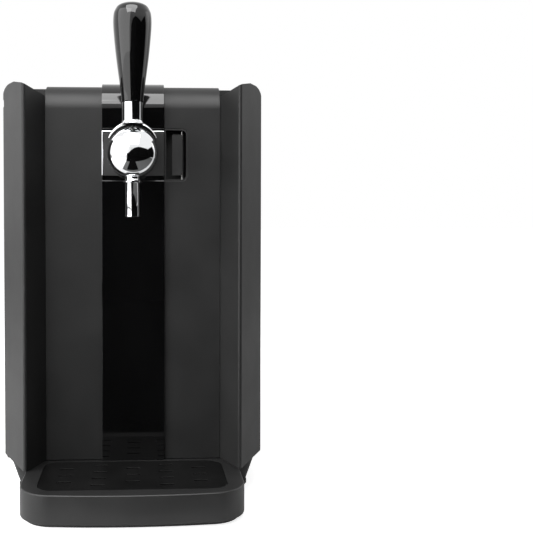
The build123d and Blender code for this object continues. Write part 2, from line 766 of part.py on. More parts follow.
def cooling_parts():
    lift = cold_plate_height / 2
    plate = block(-cold_plate_width / 2, cold_plate_width / 2, chamber_y + liner_radius / 2,
                  bulkhead_y - skin_gap / 2, sink_centre_height - lift, sink_centre_height + lift)
    plate -= rod_z(liner_radius + bore_gap, 0, chamber_y, sink_centre_height - lift - 1,
                   sink_centre_height + lift + 1)
    half = module_size / 2
    module = block(-half, half, bulkhead_y, bulkhead_y + module_thickness,
                   sink_centre_height - half, sink_centre_height + half)

    sink = block(-sink_width / 2, sink_width / 2, sink_y, sink_y + sink_base,
                 sink_centre_height - sink_height / 2, sink_centre_height + sink_height / 2)
    span = sink_width - 18.0
    for i in range(sink_fin_count):
        x = -span / 2 + i * span / (sink_fin_count - 1)
        sink += block(x - sink_fin_thickness / 2, x + sink_fin_thickness / 2, sink_y + sink_base - 0.5,
                      sink_rear_y, sink_centre_height - sink_height / 2,
                      sink_centre_height + sink_height / 2)
    for x, z in sink_screw_places():
        sink -= rod_y(screw_radius + bore_gap, x, sink_y - 1, sink_y + sink_base + 1, z)
    screws = [rod_y(screw_radius, x, bulkhead_y + 0.5, sink_y + sink_base, z)
              + rod_y(screw_head_radius - 0.4, x, sink_y + sink_base, sink_y + sink_base + 2, z)
              for x, z in sink_screw_places()]

    half = fan_size / 2
    frame = block(-half, half, fan_y, fan_rear_y, sink_centre_height - half, sink_centre_height + half)
    frame -= rod_y(fan_bore, 0, fan_y - 1, fan_rear_y + 1, sink_centre_height)
    frame += rod_y(fan_hub_radius, 0, fan_rear_y - fan_strut_thickness, fan_rear_y, sink_centre_height)
    for turn in (45, 135):
        strut = Box(2 * fan_bore + fan_strut_width, fan_strut_thickness, fan_strut_width)
        frame += Pos(0, fan_rear_y - fan_strut_thickness / 2, sink_centre_height) * Rot(0, turn, 0) * strut
    frame -= rod_y(fan_shaft_radius + bore_gap, 0, fan_y, fan_rear_y + 1, sink_centre_height)
    corners, _ = screw_places()
    for x, z in corners:
        frame -= rod_y(screw_radius, x, fan_y - 1, fan_rear_y + 1, z)

    rotor = rod_y(fan_hub_radius, 0, fan_y + 1, fan_rear_y - 2.6, sink_centre_height)
    rotor += rod_y(fan_shaft_radius, 0, fan_y + 2, fan_rear_y - 0.2, sink_centre_height)
    blade = Box(fan_bore - fan_hub_radius, fan_blade_thickness, fan_blade_chord)
    reach = (fan_bore + fan_hub_radius) / 2 - 1.0
    for i in range(fan_blade_count):
        turn = Pos(0, (fan_y + fan_rear_y) / 2 - 1.2, sink_centre_height)
        turn *= Rot(0, i * 360 / fan_blade_count, 0)
        rotor += turn * Pos(reach - 0.5, 0, 0) * Rot(fan_blade_pitch, 0, 0) * blade
    return {"cold_plate": plate, "thermoelectric_module": module, "heat_sink": sink,
            "heat_sink_screws": Compound(children=screws), "fan_frame": frame, "fan_rotor": rotor}


# ---------------------------------------------------------------- electrics and air
def inlet_window(gap):
    return block(inlet_x - inlet_width / 2 - gap, inlet_x + inlet_width / 2 + gap,
                 cover_inner_y - 1, rear_y + 1,
                 inlet_z - inlet_height / 2 - gap, inlet_z + inlet_height / 2 + gap)


def rocker_window(gap):
    return block(inlet_x - rocker_width / 2 - gap, inlet_x + rocker_width / 2 + gap,
                 cover_inner_y - 1, rear_y + 1,
                 rocker_z - rocker_height / 2 - gap, rocker_z + rocker_height / 2 + gap)


def board_posts():
    x = board_width / 2 - board_post_inset
    y = board_depth / 2 - board_post_inset
    return [(side * x, board_y + end * y) for side in (LEFT, RIGHT) for end in (-1, 1)]


def display_opening(gap, z0, z1):
    half_x = display_width / 2 + gap
    half_y = display_length / 2 + gap
    return block(-half_x, half_x, board_y - half_y, board_y + half_y, z0, z1)


def electrics():
    width = inlet_width / 2
    height = inlet_height / 2
    inlet = block(inlet_x - width, inlet_x + width, rear_y - inlet_depth, rear_y,
                  inlet_z - height, inlet_z + height)
    width -= inlet_wall
    height -= inlet_wall
    floor_y = rear_y - inlet_depth + inlet_floor
    inlet -= block(inlet_x - width, inlet_x + width, floor_y, rear_y + 1,
                   inlet_z - height, inlet_z + height)
    for place in (-1, 0, 1):
        x = inlet_x + place * contact_pitch
        z = inlet_z + (contact_drop if place == 0 else 0) - contact_width / 4
        inlet += block(x - contact_width / 2, x + contact_width / 2, floor_y - 1,
                       rear_y - contact_setback, z - contact_height / 2, z + contact_height / 2)

    half_w = rocker_width / 2
    half_h = rocker_height / 2
    frame = block(inlet_x - half_w, inlet_x + half_w, rear_y - rocker_depth, rear_y,
                  rocker_z - half_h, rocker_z + half_h)
    half_w -= rocker_wall
    half_h -= rocker_wall
    frame -= block(inlet_x - half_w, inlet_x + half_w, rear_y - rocker_depth + 2, rear_y + 1,
                   rocker_z - half_h, rocker_z + half_h)
    pivot_y = rear_y - rocker_pivot_setback
    frame -= rod_x(rocker_pin_radius + bore_gap, inlet_x - half_w - 1, inlet_x + half_w + 1, pivot_y,
                   rocker_z)
    rocker = Box(2 * (half_w - rocker_side_gap), rocker_thickness, 2 * (half_h - rocker_end_gap))
    cutter = Pos(0, rocker_dish + rocker_thickness / 2, 0) * Box(rocker_width, rocker_thickness,
                                                                 2 * rocker_height)
    for tilt in (-rocker_tilt, rocker_tilt):
        rocker -= Rot(tilt, 0, 0) * cutter
    pin_end = rocker_width / 2 - rocker_pin_end
    rocker += rod_x(rocker_pin_radius, -pin_end, pin_end, 0, 0)
    rocker = Pos(inlet_x, pivot_y, rocker_z) * Rot(rocker_tilt, 0, 0) * rocker

    supply = block(supply_x, supply_x + supply_width, bulkhead_rear_y + skin_gap,
                   cover_inner_y - supply_rear_gap, deck_top, deck_top + supply_height)
    lead_y = rear_y - inlet_depth - lead_setback
    low = deck_top + lead_rest_height
    end_z = deck_top + lead_end_height
    lead_path = FilletPolyline(
        (inlet_x, rear_y - inlet_depth, inlet_z), (inlet_x, lead_y, inlet_z),
        (0.65 * inlet_x, lead_y - lead_radius, 0.6 * low + 0.4 * end_z), (0, lead_y - lead_radius / 2, low),
        (0.65 * supply_x, lead_y, end_z), (supply_x, lead_y, end_z),
        radius=(1.6 * lead_radius, 4 * lead_radius, 8 * lead_radius, 4 * lead_radius))
    lead = sweep(Plane(lead_path @ 0, z_dir=lead_path % 0) * Circle(lead_radius), path=lead_path)

    back = bulkhead_rear_y + skin_gap
    pump_top = pump_z + pump_length
    hose_start = pump_top + nozzle_length
    pump = rod_z(pump_radius, pump_x, pump_y, pump_z, pump_top)
    pump += block(pump_x - pump_radius, pump_x + pump_radius, back, pump_y, pump_z, pump_top)
    half = pump_radius + pump_ear
    pump += block(pump_x - half, pump_x + half, back, pump_y + pump_ear, pump_top - 1,
                  pump_top + pump_ear_height)
    pump += rod_z(hose_radius - nozzle_wall, pump_x, pump_y, pump_top, hose_start)
    bend = 7 * hose_radius
    run = pump_y - chamber_y
    hose_path = FilletPolyline(
        (pump_x, pump_y, hose_start), (pump_x, pump_y, hose_z),
        (0.74 * pump_x, pump_y - 0.4 * run, hose_z + 1), (-4 * hose_radius, chamber_y + 0.2 * run, hose_z),
        (0, chamber_y, hose_z - 0.5), (0, chamber_y, foam_top + coupling_nipple),
        radius=(2.3 * hose_radius, bend, bend, 1.15 * hose_radius))
    hose = sweep(Plane(hose_path @ 0, z_dir=hose_path % 0) * Circle(hose_radius), path=hose_path)

    board = block(-board_width / 2, board_width / 2, board_y - board_depth / 2,
                  board_y + board_depth / 2, board_z, board_z + board_thickness)
    half = chip_width / 2
    for side in (LEFT, RIGHT):
        for end in (-1, 1):
            x = side * (board_width / 2 - chip_side)
            y = board_y + end * chip_spread
            board += block(x - half, x + half, y - half, y + half, board_z + 1,
                           board_z + board_thickness + chip_height)
    module = display_opening(-1.0, board_z + board_thickness + skin_gap,
                             panel_top - shell_wall - skin_gap)
    window = display_opening(0, panel_top - shell_wall, panel_top - display_sink)
    return {"mains_inlet": inlet, "rocker_frame": frame, "power_rocker": rocker,
            "power_supply": supply, "power_lead": lead, "air_pump": pump, "air_hose": hose,
            "control_board": board, "display_module": module, "display_window": window}


# ---------------------------------------------------------------- door
def fin(side):
    """One fin of the door: a slanted inner face, a ridge and a slanted outer face."""
    inner_x = panel_half + skin_gap
    plan = Polygon((inner_x, door_rear_y), (inner_x, panel_y), (ridge_half, ridge_y),
                   (body_half, knee_y), (body_half, door_rear_y), align=None)
    solid = prism(plan, door_bottom, panel_top)
    solid = fillet(upright_edges(solid, body_half, door_rear_y), hinge_offset)
    solid = fillet(upright_edges(solid, body_half, knee_y), knee_radius)
    solid = fillet(upright_edges(solid, ridge_half, ridge_y), ridge_radius)
    solid &= silhouette(panel_top, shoulder_radius)
    slope = Polygon((ridge_half + fin_slope_side, panel_top), (panel_half, panel_top - fin_slope_drop),
                    (panel_half, panel_top + 1), (ridge_half + fin_slope_side, panel_top + 1), align=None)
    solid -= slab_y(slope, 2 * front_y, rear_y)
    posts = []
    bores = []
    for x, z in door_posts()[-2:]:
        posts.append(solid & rod_y(post_radius, x, ridge_y, inner_panel_front - skin_gap, z))
        bores.append(rod_y(screw_radius, x, inner_panel_y - door_screw_length - 2, inner_panel_y, z))
    far = 4 * door_depth
    room = Polygon((inner_x - far, far + seam_y), (inner_x - far, panel_y), (inner_x, panel_y),
                   (ridge_half, ridge_y), (body_half, knee_y), (body_half, far + seam_y), align=None)
    hollow = prism(offset(room, -shell_wall, kind=Kind.INTERSECTION), door_bottom - 1,
                   panel_top - shoulder_radius)
    if side == RIGHT:
        return solid - hollow + posts - bores
    column = rod_z(hinge_offset + 3, -hinge_x, hinge_y, door_bottom, panel_top)
    solid -= hollow - column
    bore = hinge_pin_radius + bore_gap
    solid -= rod_z(bore, -hinge_x, hinge_y, door_bottom - 1, door_bottom + hinge_pin_length + 1)
    low = hinge_slot_z - hinge_slot_height / 2
    solid -= rod_z(bore, -hinge_x, hinge_y, low - hinge_pin_length, low + 1)
    solid -= block(-hinge_x - hinge_offset - 3.5, body_half + 1, hinge_y - hinge_offset - 2, seam_y + 1,
                   low, low + hinge_slot_height)
    return mirror(solid + posts - bores, Plane.YZ)


def door_posts():
    """Where the door's four screws are: each goes into a post inside a fin. The right side's come last."""
    x = ridge_half - post_side
    return [(side * x, z) for side in (LEFT, RIGHT)
            for z in (door_bottom + post_low, panel_top - panel_edge_radius - post_high)]


def window_block(x0, x1, y0, y1, radius):
    """A block the height of the window, with its right corners rounded."""
    cut = block(x0, x1, y0, y1, window_bottom, window_top)
    if radius:
        cut = fillet(cut.edges().filter_by(Axis.Y).sort_by(Axis.X)[-2:], radius)
    return cut


def door_parts():
    sheet_back = panel_y + shell_wall
    panel = bent_sheet(panel_y, panel_top, panel_edge_radius, shell_wall, panel_half,
                       door_bottom, door_rear_y)
    panel -= window_block(tap_window_side - strip_half, recess_right, panel_y - 1, sheet_back + 1,
                          recess_corner_radius)
    guide_hole = tap_tube_radius + guide_wall + bore_gap

    strip = bent_sheet(strip_y, panel_top + strip_rise, panel_edge_radius + strip_rise,
                       strip_rise - skin_gap, strip_half, door_bottom, door_rear_y)
    strip -= block(-strip_half - 1, strip_half + 1, strip_y - 1, strip_y + plate_pocket_depth,
                   window_bottom, window_top)
    strip -= rod_y(guide_hole, 0, strip_y - 5, panel_y + 1, guide_z)

    cup = window_block(recess_left + skin_gap, recess_right - skin_gap, panel_y, panel_y + recess_depth,
                       recess_corner_radius)
    cup = cup & block(recess_left, recess_right, panel_y - 1, panel_y + recess_depth + 1,
                      window_bottom + skin_gap, window_top - skin_gap)
    room = block(recess_left + skin_gap + cup_wall, recess_right - skin_gap - cup_wall, panel_y - 1,
                 panel_y + recess_depth - cup_wall, window_bottom + skin_gap + cup_wall,
                 window_top - skin_gap - cup_wall)
    room = fillet(room.edges().filter_by(Axis.Y).sort_by(Axis.X)[-2:], recess_corner_radius - cup_wall)
    cup -= room
    tail_room = tail_height / 2 + 1.0
    cup -= block(slide_left - slide_slot_half, release_x + slide_slot_half,
                 panel_y + recess_depth - cup_wall - 1,
                 panel_y + recess_depth + 1, release_z - tail_room, release_z + tail_room)
    cup -= rod_z(release_pin_radius + bore_gap, release_x, release_y, window_bottom - 1, window_top + 1)

    inner = block(part_gap + column_side - body_half, body_half - inner_panel_side, inner_panel_front,
                  inner_panel_y, door_bottom + inner_panel_lift, panel_top - shoulder_radius - part_gap)
    slide_half = slide_height / 2
    inner -= block(slide_right - slide_block - slide_room - 1, slide_right + 2, inner_panel_front - 1,
                   inner_panel_y + 1, release_z - slide_half - slide_room,
                   release_z + slide_half + slide_room)
    inner -= rod_y(guide_hole, 0, inner_panel_front - 1, inner_panel_y + 1, guide_z)
    for x, z in door_posts():
        inner -= rod_y(screw_radius + bore_gap, x, inner_panel_front - 1, inner_panel_y + 1, z)
        inner -= rod_y(screw_head_radius + skin_gap, x, inner_panel_y - screw_head_height,
                       inner_panel_y + 1, z)
    screws = [rod_y(screw_radius, x, inner_panel_y - door_screw_length, inner_panel_y - screw_head_height, z)
              + rod_y(screw_head_radius, x, inner_panel_y - screw_head_height, inner_panel_y, z)
              for x, z in door_posts()]

    foam = block(insulation_side - panel_half, panel_half - insulation_side, sheet_back + skin_gap,
                 inner_panel_front - skin_gap, door_bottom + insulation_side, panel_top - panel_edge_radius)
    foam -= block(recess_left - 1, recess_right + 1, panel_y, panel_y + recess_depth + skin_gap,
                  window_bottom - 1, window_top + 1)
    foam -= block(slide_left - slide_room - 3, panel_half, panel_y + recess_depth, inner_panel_front,
                  release_z - slide_half - 4, release_z + slide_half + 4)
    foam -= rod_y(guide_hole, 0, sheet_back, inner_panel_front, guide_z)

    middle = Pos(0, (chamber_bottom + chamber_top) / 2)
    rim = RectangleRounded(2 * (inner_half - gasket_side), chamber_height + 2 * gasket_reach,
                           gasket_outer_corner)
    hole = RectangleRounded(2 * (chamber_radius + gasket_lip), chamber_height + 2 * gasket_inner_reach,
                            gasket_inner_corner)
    ring = slab_y(middle * rim, inner_panel_y, seam_y - part_gap)
    ring -= slab_y(middle * hole, inner_panel_y - 1, seam_y)
    ring -= block(keeper_x - keeper_half - gasket_notch, body_half, inner_panel_y - 1, seam_y,
                  release_z - slide_half - 2 * gasket_notch, release_z + slide_half + 2 * gasket_notch)

    return {"front_panel": panel, "centre_strip": strip, "recess_cup": cup, "door_inner_panel": inner,
            "door_screws": Compound(children=screws), "door_insulation": foam, "door_gasket": ring,
            "left_fin": fin(LEFT), "right_fin": fin(RIGHT)}


def release_parts():
    """The finger lever in the recess, and the slide that shears the magnet off its keeper."""
    low = release_z - release_bar_height / 2
    high = release_z + release_bar_height / 2
    bar_right = release_x - release_bar_gap
    bar_y = panel_y + release_bar_setback
    lever = block(bar_right - release_bar_width, bar_right, bar_y, bar_y + release_bar_thickness, low, high)
    low += release_web_inset
    high -= release_web_inset
    lever += block(bar_right - release_web_thickness, release_x, bar_y, release_y, low, high)
    lever += rod_z(release_hub_radius, release_x, release_y, low, high)
    half = tail_height / 2
    tip_y = release_y + tail_length
    lever += block(release_x - tail_thickness / 2, release_x + tail_thickness / 2, release_y, tip_y,
                   release_z - half, release_z + half)
    lever += rod_z(tail_tip_radius, release_x, tip_y, release_z - half, release_z + half)
    lever -= rod_z(release_pin_radius + bore_gap, release_x, release_y, low - 1, high + 1)
    pin = rod_z(release_pin_radius, release_x, release_y, window_bottom + skin_gap, window_top - skin_gap)

    half = slide_height / 2
    middle = slide_y + slide_front
    slide = block(slide_left, slide_right, slide_y, middle, release_z - half, release_z + half)
    slide -= block(release_x - slide_slot_half, release_x + slide_slot_half, slide_y - 1, middle + 1,
                   release_z - half - 1, release_z + half + 1)
    slide += block(slide_left, slide_right, middle, middle + slide_back, release_z - half, release_z + half)
    magnet_y = inner_panel_y + magnet_stand - magnet_depth
    slide += block(slide_right - slide_block, slide_right, middle, magnet_y, release_z - half,
                   release_z + half)
    magnet_x = slide_right - slide_block / 2
    magnet = block(magnet_x - magnet_width / 2, magnet_x + magnet_width / 2, magnet_y,
                   magnet_y + magnet_depth, release_z - magnet_height / 2, release_z + magnet_height / 2)
    spring_length = spring_pitch * spring_turns
    cup_back = panel_y + recess_depth - cup_wall
    coil = Helix(pitch=spring_pitch, height=spring_length, radius=spring_radius,
                 center=(release_x - spring_side, cup_back - spring_length - spring_wire_radius
                         - spring_seat_gap, release_z + spring_rise), direction=(0, 1, 0))
    spring = sweep(Plane(coil @ 0, z_dir=coil % 0) * Circle(spring_wire_radius), path=coil, is_frenet=True)
    return {"release_lever": lever, "release_lever_pin": pin, "release_slide": slide,
            "slide_magnet": magnet, "release_spring": spring}


# ---------------------------------------------------------------- tap
def tap_parts():
    plate = block(-strip_half + trim_width + 0.2, strip_half - 0.2, plate_face_y,
                  strip_y + plate_pocket_depth - skin_gap, window_bottom + plate_bottom_gap,
                  window_top - plate_top_gap - trim_width)
    trim = block(-strip_half + 0.2, strip_half - 0.2, plate_face_y - trim_stand,
                 strip_y + plate_pocket_depth - skin_gap, window_bottom + plate_bottom_gap,
                 window_top - plate_top_gap)
    trim -= block(-strip_half + trim_width, strip_half + 1, plate_face_y - 2, strip_y + 4,
                  window_bottom, window_top - plate_top_gap - trim_width + skin_gap)
    guide_out = tap_tube_radius + guide_wall
    plate -= rod_y(guide_out + bore_gap, 0, plate_face_y - 1, strip_y + 5, guide_z)

    ball = Pos(0, ball_y, ball_height) * Sphere(ball_radius)
    ball += rod_y(neck_radius, 0, ball_y, plate_face_y - skin_gap, ball_height)
    ball += rod_y(neck_radius + 3, 0, plate_face_y - 3, plate_face_y - skin_gap, ball_height)
    ball -= rod_y(guide_out + bore_gap, 0, ball_y + ball_radius, plate_face_y + 1, guide_z)
    bore = tap_tube_radius + ball_bore_ease
    ball -= rod_y(bore, 0, ball_y - bore, ball_y + ball_radius + 1, guide_z)
    ball -= rod_z(bore, 0, ball_y, ball_height - ball_radius - 1, guide_z + bore)
    ball -= rod_z(spout_radius + bore_gap, 0, ball_y, ball_height - ball_radius - 1,
                  ball_height - ball_radius + spout_seat)
    slot_rear = ball_y + plunger_rise + 2
    ball -= block(-shank_slot_half, shank_slot_half, ball_y - shank_slot_front, slot_rear,
                  pivot_z - shank_arm - shank_radius, pivot_z + ball_radius)
    ball -= rod_y(shank_radius + bore_gap, 0, slot_rear - 1, plate_face_y + 1, plunger_z)
    pin_half = sqrt(ball_radius ** 2 - lever_pivot_rise ** 2) - 3.5
    ball -= rod_x(pivot_pin_radius, -pin_half, pin_half, ball_y, pivot_z)
    pin = rod_x(pivot_pin_radius, -pin_half, pin_half, ball_y, pivot_z)

    spout_top = ball_height - ball_radius + spout_seat
    spout = rod_z(spout_radius, 0, ball_y, spout_tip_height, spout_top)
    collar_z = ball_height - ball_radius - collar_drop
    spout += rod_z(spout_radius + collar_stand, 0, ball_y, collar_z, collar_z + collar_height)
    spout += Pos(0, ball_y, collar_z + 2.5 * collar_height) * Cone(
        spout_radius + 0.8 * collar_stand, spout_radius, 3 * collar_height)
    spout -= rod_z(spout_bore, 0, ball_y, spout_tip_height - 1, spout_top + 1)
    guide = rod_y(guide_out, 0, ball_y + ball_radius + bore_gap, inner_panel_y + 0.2, guide_z)
    guide -= rod_y(tap_tube_radius, 0, ball_y, seam_y, guide_z)

    top = ferrule_top - shank_top_gap
    shank = rod_z(shank_radius, 0, ball_y, pivot_z - shank_arm, top)
    shank += rod_x(shank_hub_radius, -shank_radius - 0.3, shank_radius + 0.3, ball_y, pivot_z)
    shank -= rod_x(pivot_pin_radius + bore_gap, -shank_hub_radius, shank_hub_radius, ball_y, pivot_z)

    plunger_front = ball_y + shank_radius + part_gap
    plunger = rod_y(shank_radius, 0, plunger_front, plunger_front + plunger_length, plunger_z)

    shift = (hood_outer - hood_inner) * 0.6
    hood = Pos(0, ball_y, ball_height + shift) * Sphere(hood_outer - shift)
    hood += rod_z(ferrule_radius, 0, ball_y, ball_height + hood_inner, ferrule_top)
    hood -= Pos(0, ball_y, ball_height) * Sphere(hood_inner)
    keep = block(-hood_outer - 1, hood_outer + 1, ball_y - hood_front, ball_y + hood_back,
                 ball_height + neck_radius + 2, ferrule_top)
    keep += rod_z(ferrule_radius, 0, ball_y, ball_height + hood_inner, ferrule_top)
    ferrule = hood & keep
    ferrule += rod_z(stud_radius, 0, ball_y, ferrule_top - 1, ferrule_top + stud_length)
    ferrule -= rod_z(shank_radius + bore_gap, 0, ball_y, pivot_z, top + bore_gap)

    foot = ferrule_top + skin_gap
    height = handle_height
    side = Spline((handle_foot_radius, foot), (handle_radius * 0.83, foot + 0.42 * height),
                  (handle_radius, foot + 0.76 * height), (handle_radius * 0.9, foot + 0.93 * height),
                  (0, foot + height), tangents=((0.10, 1), (-1, 0)))
    profile = make_face((side + Polyline((0, foot + height), (0, foot), (handle_foot_radius, foot))).edges())
    handle = Pos(0, ball_y, 0) * revolve(Plane.XZ * profile, Axis.Z)
    handle -= rod_z(stud_radius + bore_gap, 0, ball_y, foot - 1, ferrule_top + stud_length + 0.5)
    return {"tap_mount_plate": plate, "tap_plate_trim": trim, "tap_ball": ball, "lever_pivot_pin": pin,
            "spout_tube": spout, "tube_guide": guide, "lever_shank": shank, "valve_plunger": plunger,
            "handle_ferrule": ferrule, "tap_handle": handle}


# ---------------------------------------------------------------- write the pieces
def build():
    parts = {}
    for make in (base_parts, tray_parts, casing_parts, chamber_parts, cooling_parts, electrics,
                 door_parts, release_parts, tap_parts):
        parts.update(make())
    os.makedirs("parts", exist_ok=True)
    for name, shape in parts.items():
        export_step(shape, "parts/" + name + ".step")
        print(name, round(shape.volume))
    print(len(parts), "nodes")


build()
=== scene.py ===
# %% [markdown]
# # A counter-top dispenser for a small keg
# The dispenser is a black box with a door, a chrome ball tap and a slide-out drip tray. Its solids come
# from a CAD model, which fixes every size and every joint. Here each piece that shows gets its finish, and
# the pieces that catch the light, such as the tap and the tray, are shaped again with soft edges, because
# an edge with no rounding at all is the first thing that gives a computer picture away.
# Lengths are in metres, +X is the viewer's right, the front faces -Y and +Z is up.

import json
from math import asin, cos, pi, radians, sin

import bmesh
import bpy
from mathutils import Matrix, Vector


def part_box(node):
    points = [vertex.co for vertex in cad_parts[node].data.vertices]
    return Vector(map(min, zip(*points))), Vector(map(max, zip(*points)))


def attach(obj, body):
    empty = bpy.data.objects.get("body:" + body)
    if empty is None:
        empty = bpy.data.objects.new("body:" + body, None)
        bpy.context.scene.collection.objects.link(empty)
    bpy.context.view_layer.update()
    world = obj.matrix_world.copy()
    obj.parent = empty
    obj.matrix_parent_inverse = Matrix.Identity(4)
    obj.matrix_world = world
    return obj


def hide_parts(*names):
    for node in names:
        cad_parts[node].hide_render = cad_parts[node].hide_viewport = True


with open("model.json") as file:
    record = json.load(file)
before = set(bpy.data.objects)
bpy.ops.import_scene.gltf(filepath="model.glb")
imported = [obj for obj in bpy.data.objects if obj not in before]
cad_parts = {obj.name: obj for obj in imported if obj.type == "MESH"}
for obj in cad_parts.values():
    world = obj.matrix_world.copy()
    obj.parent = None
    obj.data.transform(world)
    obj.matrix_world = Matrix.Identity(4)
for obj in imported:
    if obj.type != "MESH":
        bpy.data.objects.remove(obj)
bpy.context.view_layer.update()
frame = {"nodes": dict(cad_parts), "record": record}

# %% [markdown]
# ## Camera
# A product picture of such a dispenser is taken from about 0.8 m before its front, a little over half way up
# the body, with a 56 mm lens. The dispenser stands left of the middle of the frame. That can be had by
# turning the camera or by shifting its lens sideways; a shift keeps the front square to the picture, so most
# of the offset is shift, and a small turn does the rest.

# %% Camera
camera_place = (0.0084, -0.9552, 0.2831)
camera_down = radians(1.59)
camera_right = radians(2.72)
lens_length = 56.2
lens_shift = (0.160, -0.0604)

camera = bpy.data.objects.new("camera", bpy.data.cameras.new("camera"))
bpy.context.scene.collection.objects.link(camera)
camera.location = camera_place
camera.rotation_euler = (pi / 2 - camera_down, 0, -camera_right)
camera.data.lens = lens_length
camera.data.shift_x, camera.data.shift_y = lens_shift
camera.data.clip_start = 0.01
bpy.context.scene.camera = camera
bpy.context.scene.view_settings.view_transform = "Standard"
print("camera at", camera_place)

# %% [markdown]
# ## Floor
# The floor is one large pale sheet. It is matt, so it takes the dispenser's soft shadow, and it glows to the
# camera alone, so that it meets the white background without a line. A glow that every ray could see would
# light the black plastic from below and take its depth away. The Light Path node tells the rays apart.

# %% Floor
def node_tools(material):
    material.use_nodes = True
    tree = material.node_tree
    tree.nodes.clear()
    return tree.nodes, tree.links


def seen_rays(nodes, links):
    """Two switches: on for rays of the camera or through glass, and on for rays that a mirror sends."""
    path = nodes.new("ShaderNodeLightPath")
    either = nodes.new("ShaderNodeMath")
    either.operation = "MAXIMUM"
    links.new(path.outputs["Is Camera Ray"], either.inputs[0])
    links.new(path.outputs["Is Transmission Ray"], either.inputs[1])
    return either.outputs[0], path.outputs["Is Glossy Ray"]


floor_reach = 12.0
floor_white = (0.86, 0.86, 0.86, 1)
floor_glow = 0.80

floor_finish = bpy.data.materials.new("pale_floor")
nodes, links = node_tools(floor_finish)
matte = nodes.new("ShaderNodeBsdfDiffuse")
matte.inputs["Color"].default_value = floor_white
glow = nodes.new("ShaderNodeEmission")
scale = nodes.new("ShaderNodeMath")
scale.operation = "MULTIPLY"
scale.inputs[1].default_value = floor_glow
links.new(seen_rays(nodes, links)[0], scale.inputs[0])
links.new(scale.outputs[0], glow.inputs["Strength"])
both = nodes.new("ShaderNodeAddShader")
links.new(matte.outputs[0], both.inputs[0])
links.new(glow.outputs[0], both.inputs[1])
out = nodes.new("ShaderNodeOutputMaterial")
links.new(both.outputs[0], out.inputs["Surface"])

floor_mesh = bpy.data.meshes.new("floor")
bm = bmesh.new()
bmesh.ops.create_grid(bm, x_segments=1, y_segments=1, size=floor_reach)
bm.to_mesh(floor_mesh)
bm.free()
floor = bpy.data.objects.new("floor", floor_mesh)
floor.data.materials.append(floor_finish)
bpy.context.scene.collection.objects.link(floor)
print("floor", [round(v, 1) for v in floor.dimensions])

# %% [markdown]
# ## World
# The world is the light that comes from everywhere. Three kinds of ray see it in three ways: the camera sees
# plain white, matt surfaces get a low even fill, and mirrors see a room that is bright high up and on the
# left, and dim low down on the right. A ramp along Z and one along X give that room, and the brighter of the
# two counts.

# %% World
world_fill = 0.30
world_low = 0.35
room_ramps = (("Z", 0.05, 0.35), ("X", 0.02, -0.14))

world = bpy.data.worlds.new("studio")
bpy.context.scene.world = world
nodes, links = node_tools(world)
sky = nodes.new("ShaderNodeBackground")
sky.inputs["Color"].default_value = (1, 1, 1, 1)
way = nodes.new("ShaderNodeSeparateXYZ")
links.new(nodes.new("ShaderNodeTexCoord").outputs["Generated"], way.inputs[0])
brighter = nodes.new("ShaderNodeMath")
brighter.operation = "MAXIMUM"
for i, (output, dim_end, bright_end) in enumerate(room_ramps):
    ramp = nodes.new("ShaderNodeMapRange")
    ramp.inputs["From Min"].default_value = dim_end
    ramp.inputs["From Max"].default_value = bright_end
    ramp.inputs["To Min"].default_value = world_low
    ramp.inputs["To Max"].default_value = 1.0
    links.new(way.outputs[output], ramp.inputs["Value"])
    links.new(ramp.outputs[0], brighter.inputs[i])
white, mirrored = seen_rays(nodes, links)
soft = nodes.new("ShaderNodeMapRange")
soft.inputs["To Min"].default_value = world_fill
links.new(brighter.outputs[0], soft.inputs["To Max"])
links.new(mirrored, soft.inputs["Value"])
level = nodes.new("ShaderNodeMapRange")
level.inputs["To Max"].default_value = 1.0
links.new(soft.outputs[0], level.inputs["To Min"])
links.new(white, level.inputs["Value"])
links.new(level.outputs[0], sky.inputs["Strength"])
out = nodes.new("ShaderNodeOutputWorld")
links.new(sky.outputs[0], out.inputs["Surface"])
print("world fill", world_fill)

# %% [markdown]
# ## Lamps
# Black plastic shows little colour of its own: what is seen on it are soft reflections of the lamps. So the
# lamps are large. The wide key light stands on the left and a narrow one on the right. A lamp need not do
# both of its jobs. The one over the front is only mirrored and gives the bright band on the gloss, while the
# one close on the left and the one over the lid only light, because their images would grey the black.

# %% Lamps
aim = Vector((0, -0.10, 0.24))


def soft_lamp(name, place, width, height, brightness, mirrored=True, lights=True):
    """A soft box that faces the dispenser. Its power follows from its area and its brightness.

    It can be kept out of reflections, or be seen in them alone.
    """
    lamp = bpy.data.lights.new(name, "AREA")
    lamp.shape = "RECTANGLE"
    lamp.size = width
    lamp.size_y = height
    lamp.energy = brightness * pi * width * height
    holder = bpy.data.objects.new(name, lamp)
    bpy.context.scene.collection.objects.link(holder)
    holder.location = place
    holder.rotation_euler = (aim - Vector(place)).to_track_quat("-Z", "Y").to_euler()
    holder.visible_glossy = mirrored
    holder.visible_diffuse = lights
    print(name, round(lamp.energy, 1), "W")


soft_lamp("key_light", (-1.15, -1.00, 0.95), 2.4, 2.0, 1.9)
soft_lamp("left_light", (-1.45, -0.62, 0.50), 0.8, 1.1, 10.0, mirrored=False)
soft_lamp("side_light", (1.45, 0.25, 0.55), 0.7, 1.2, 0.7)
soft_lamp("top_light", (-0.10, -1.00, 1.50), 1.3, 1.3, 5.6, lights=False)
soft_lamp("ceiling_light", (0.10, -0.20, 1.65), 1.3, 1.0, 1.2, mirrored=False)

# %% [markdown]
# ## Black flag and dark mats
# In front, to the right of the camera, a studio has a black flag: a dark cloth that keeps gloss black black
# and gives chrome its dark stripe. It stands on an arc round the dispenser, and its top rises and falls so
# that its image in the ball does too. Dark mats lie before it, black ones far out and in the middle and a
# grey one near the tray. Reflections alone see them, so they throw no shadow and stay out of the picture.

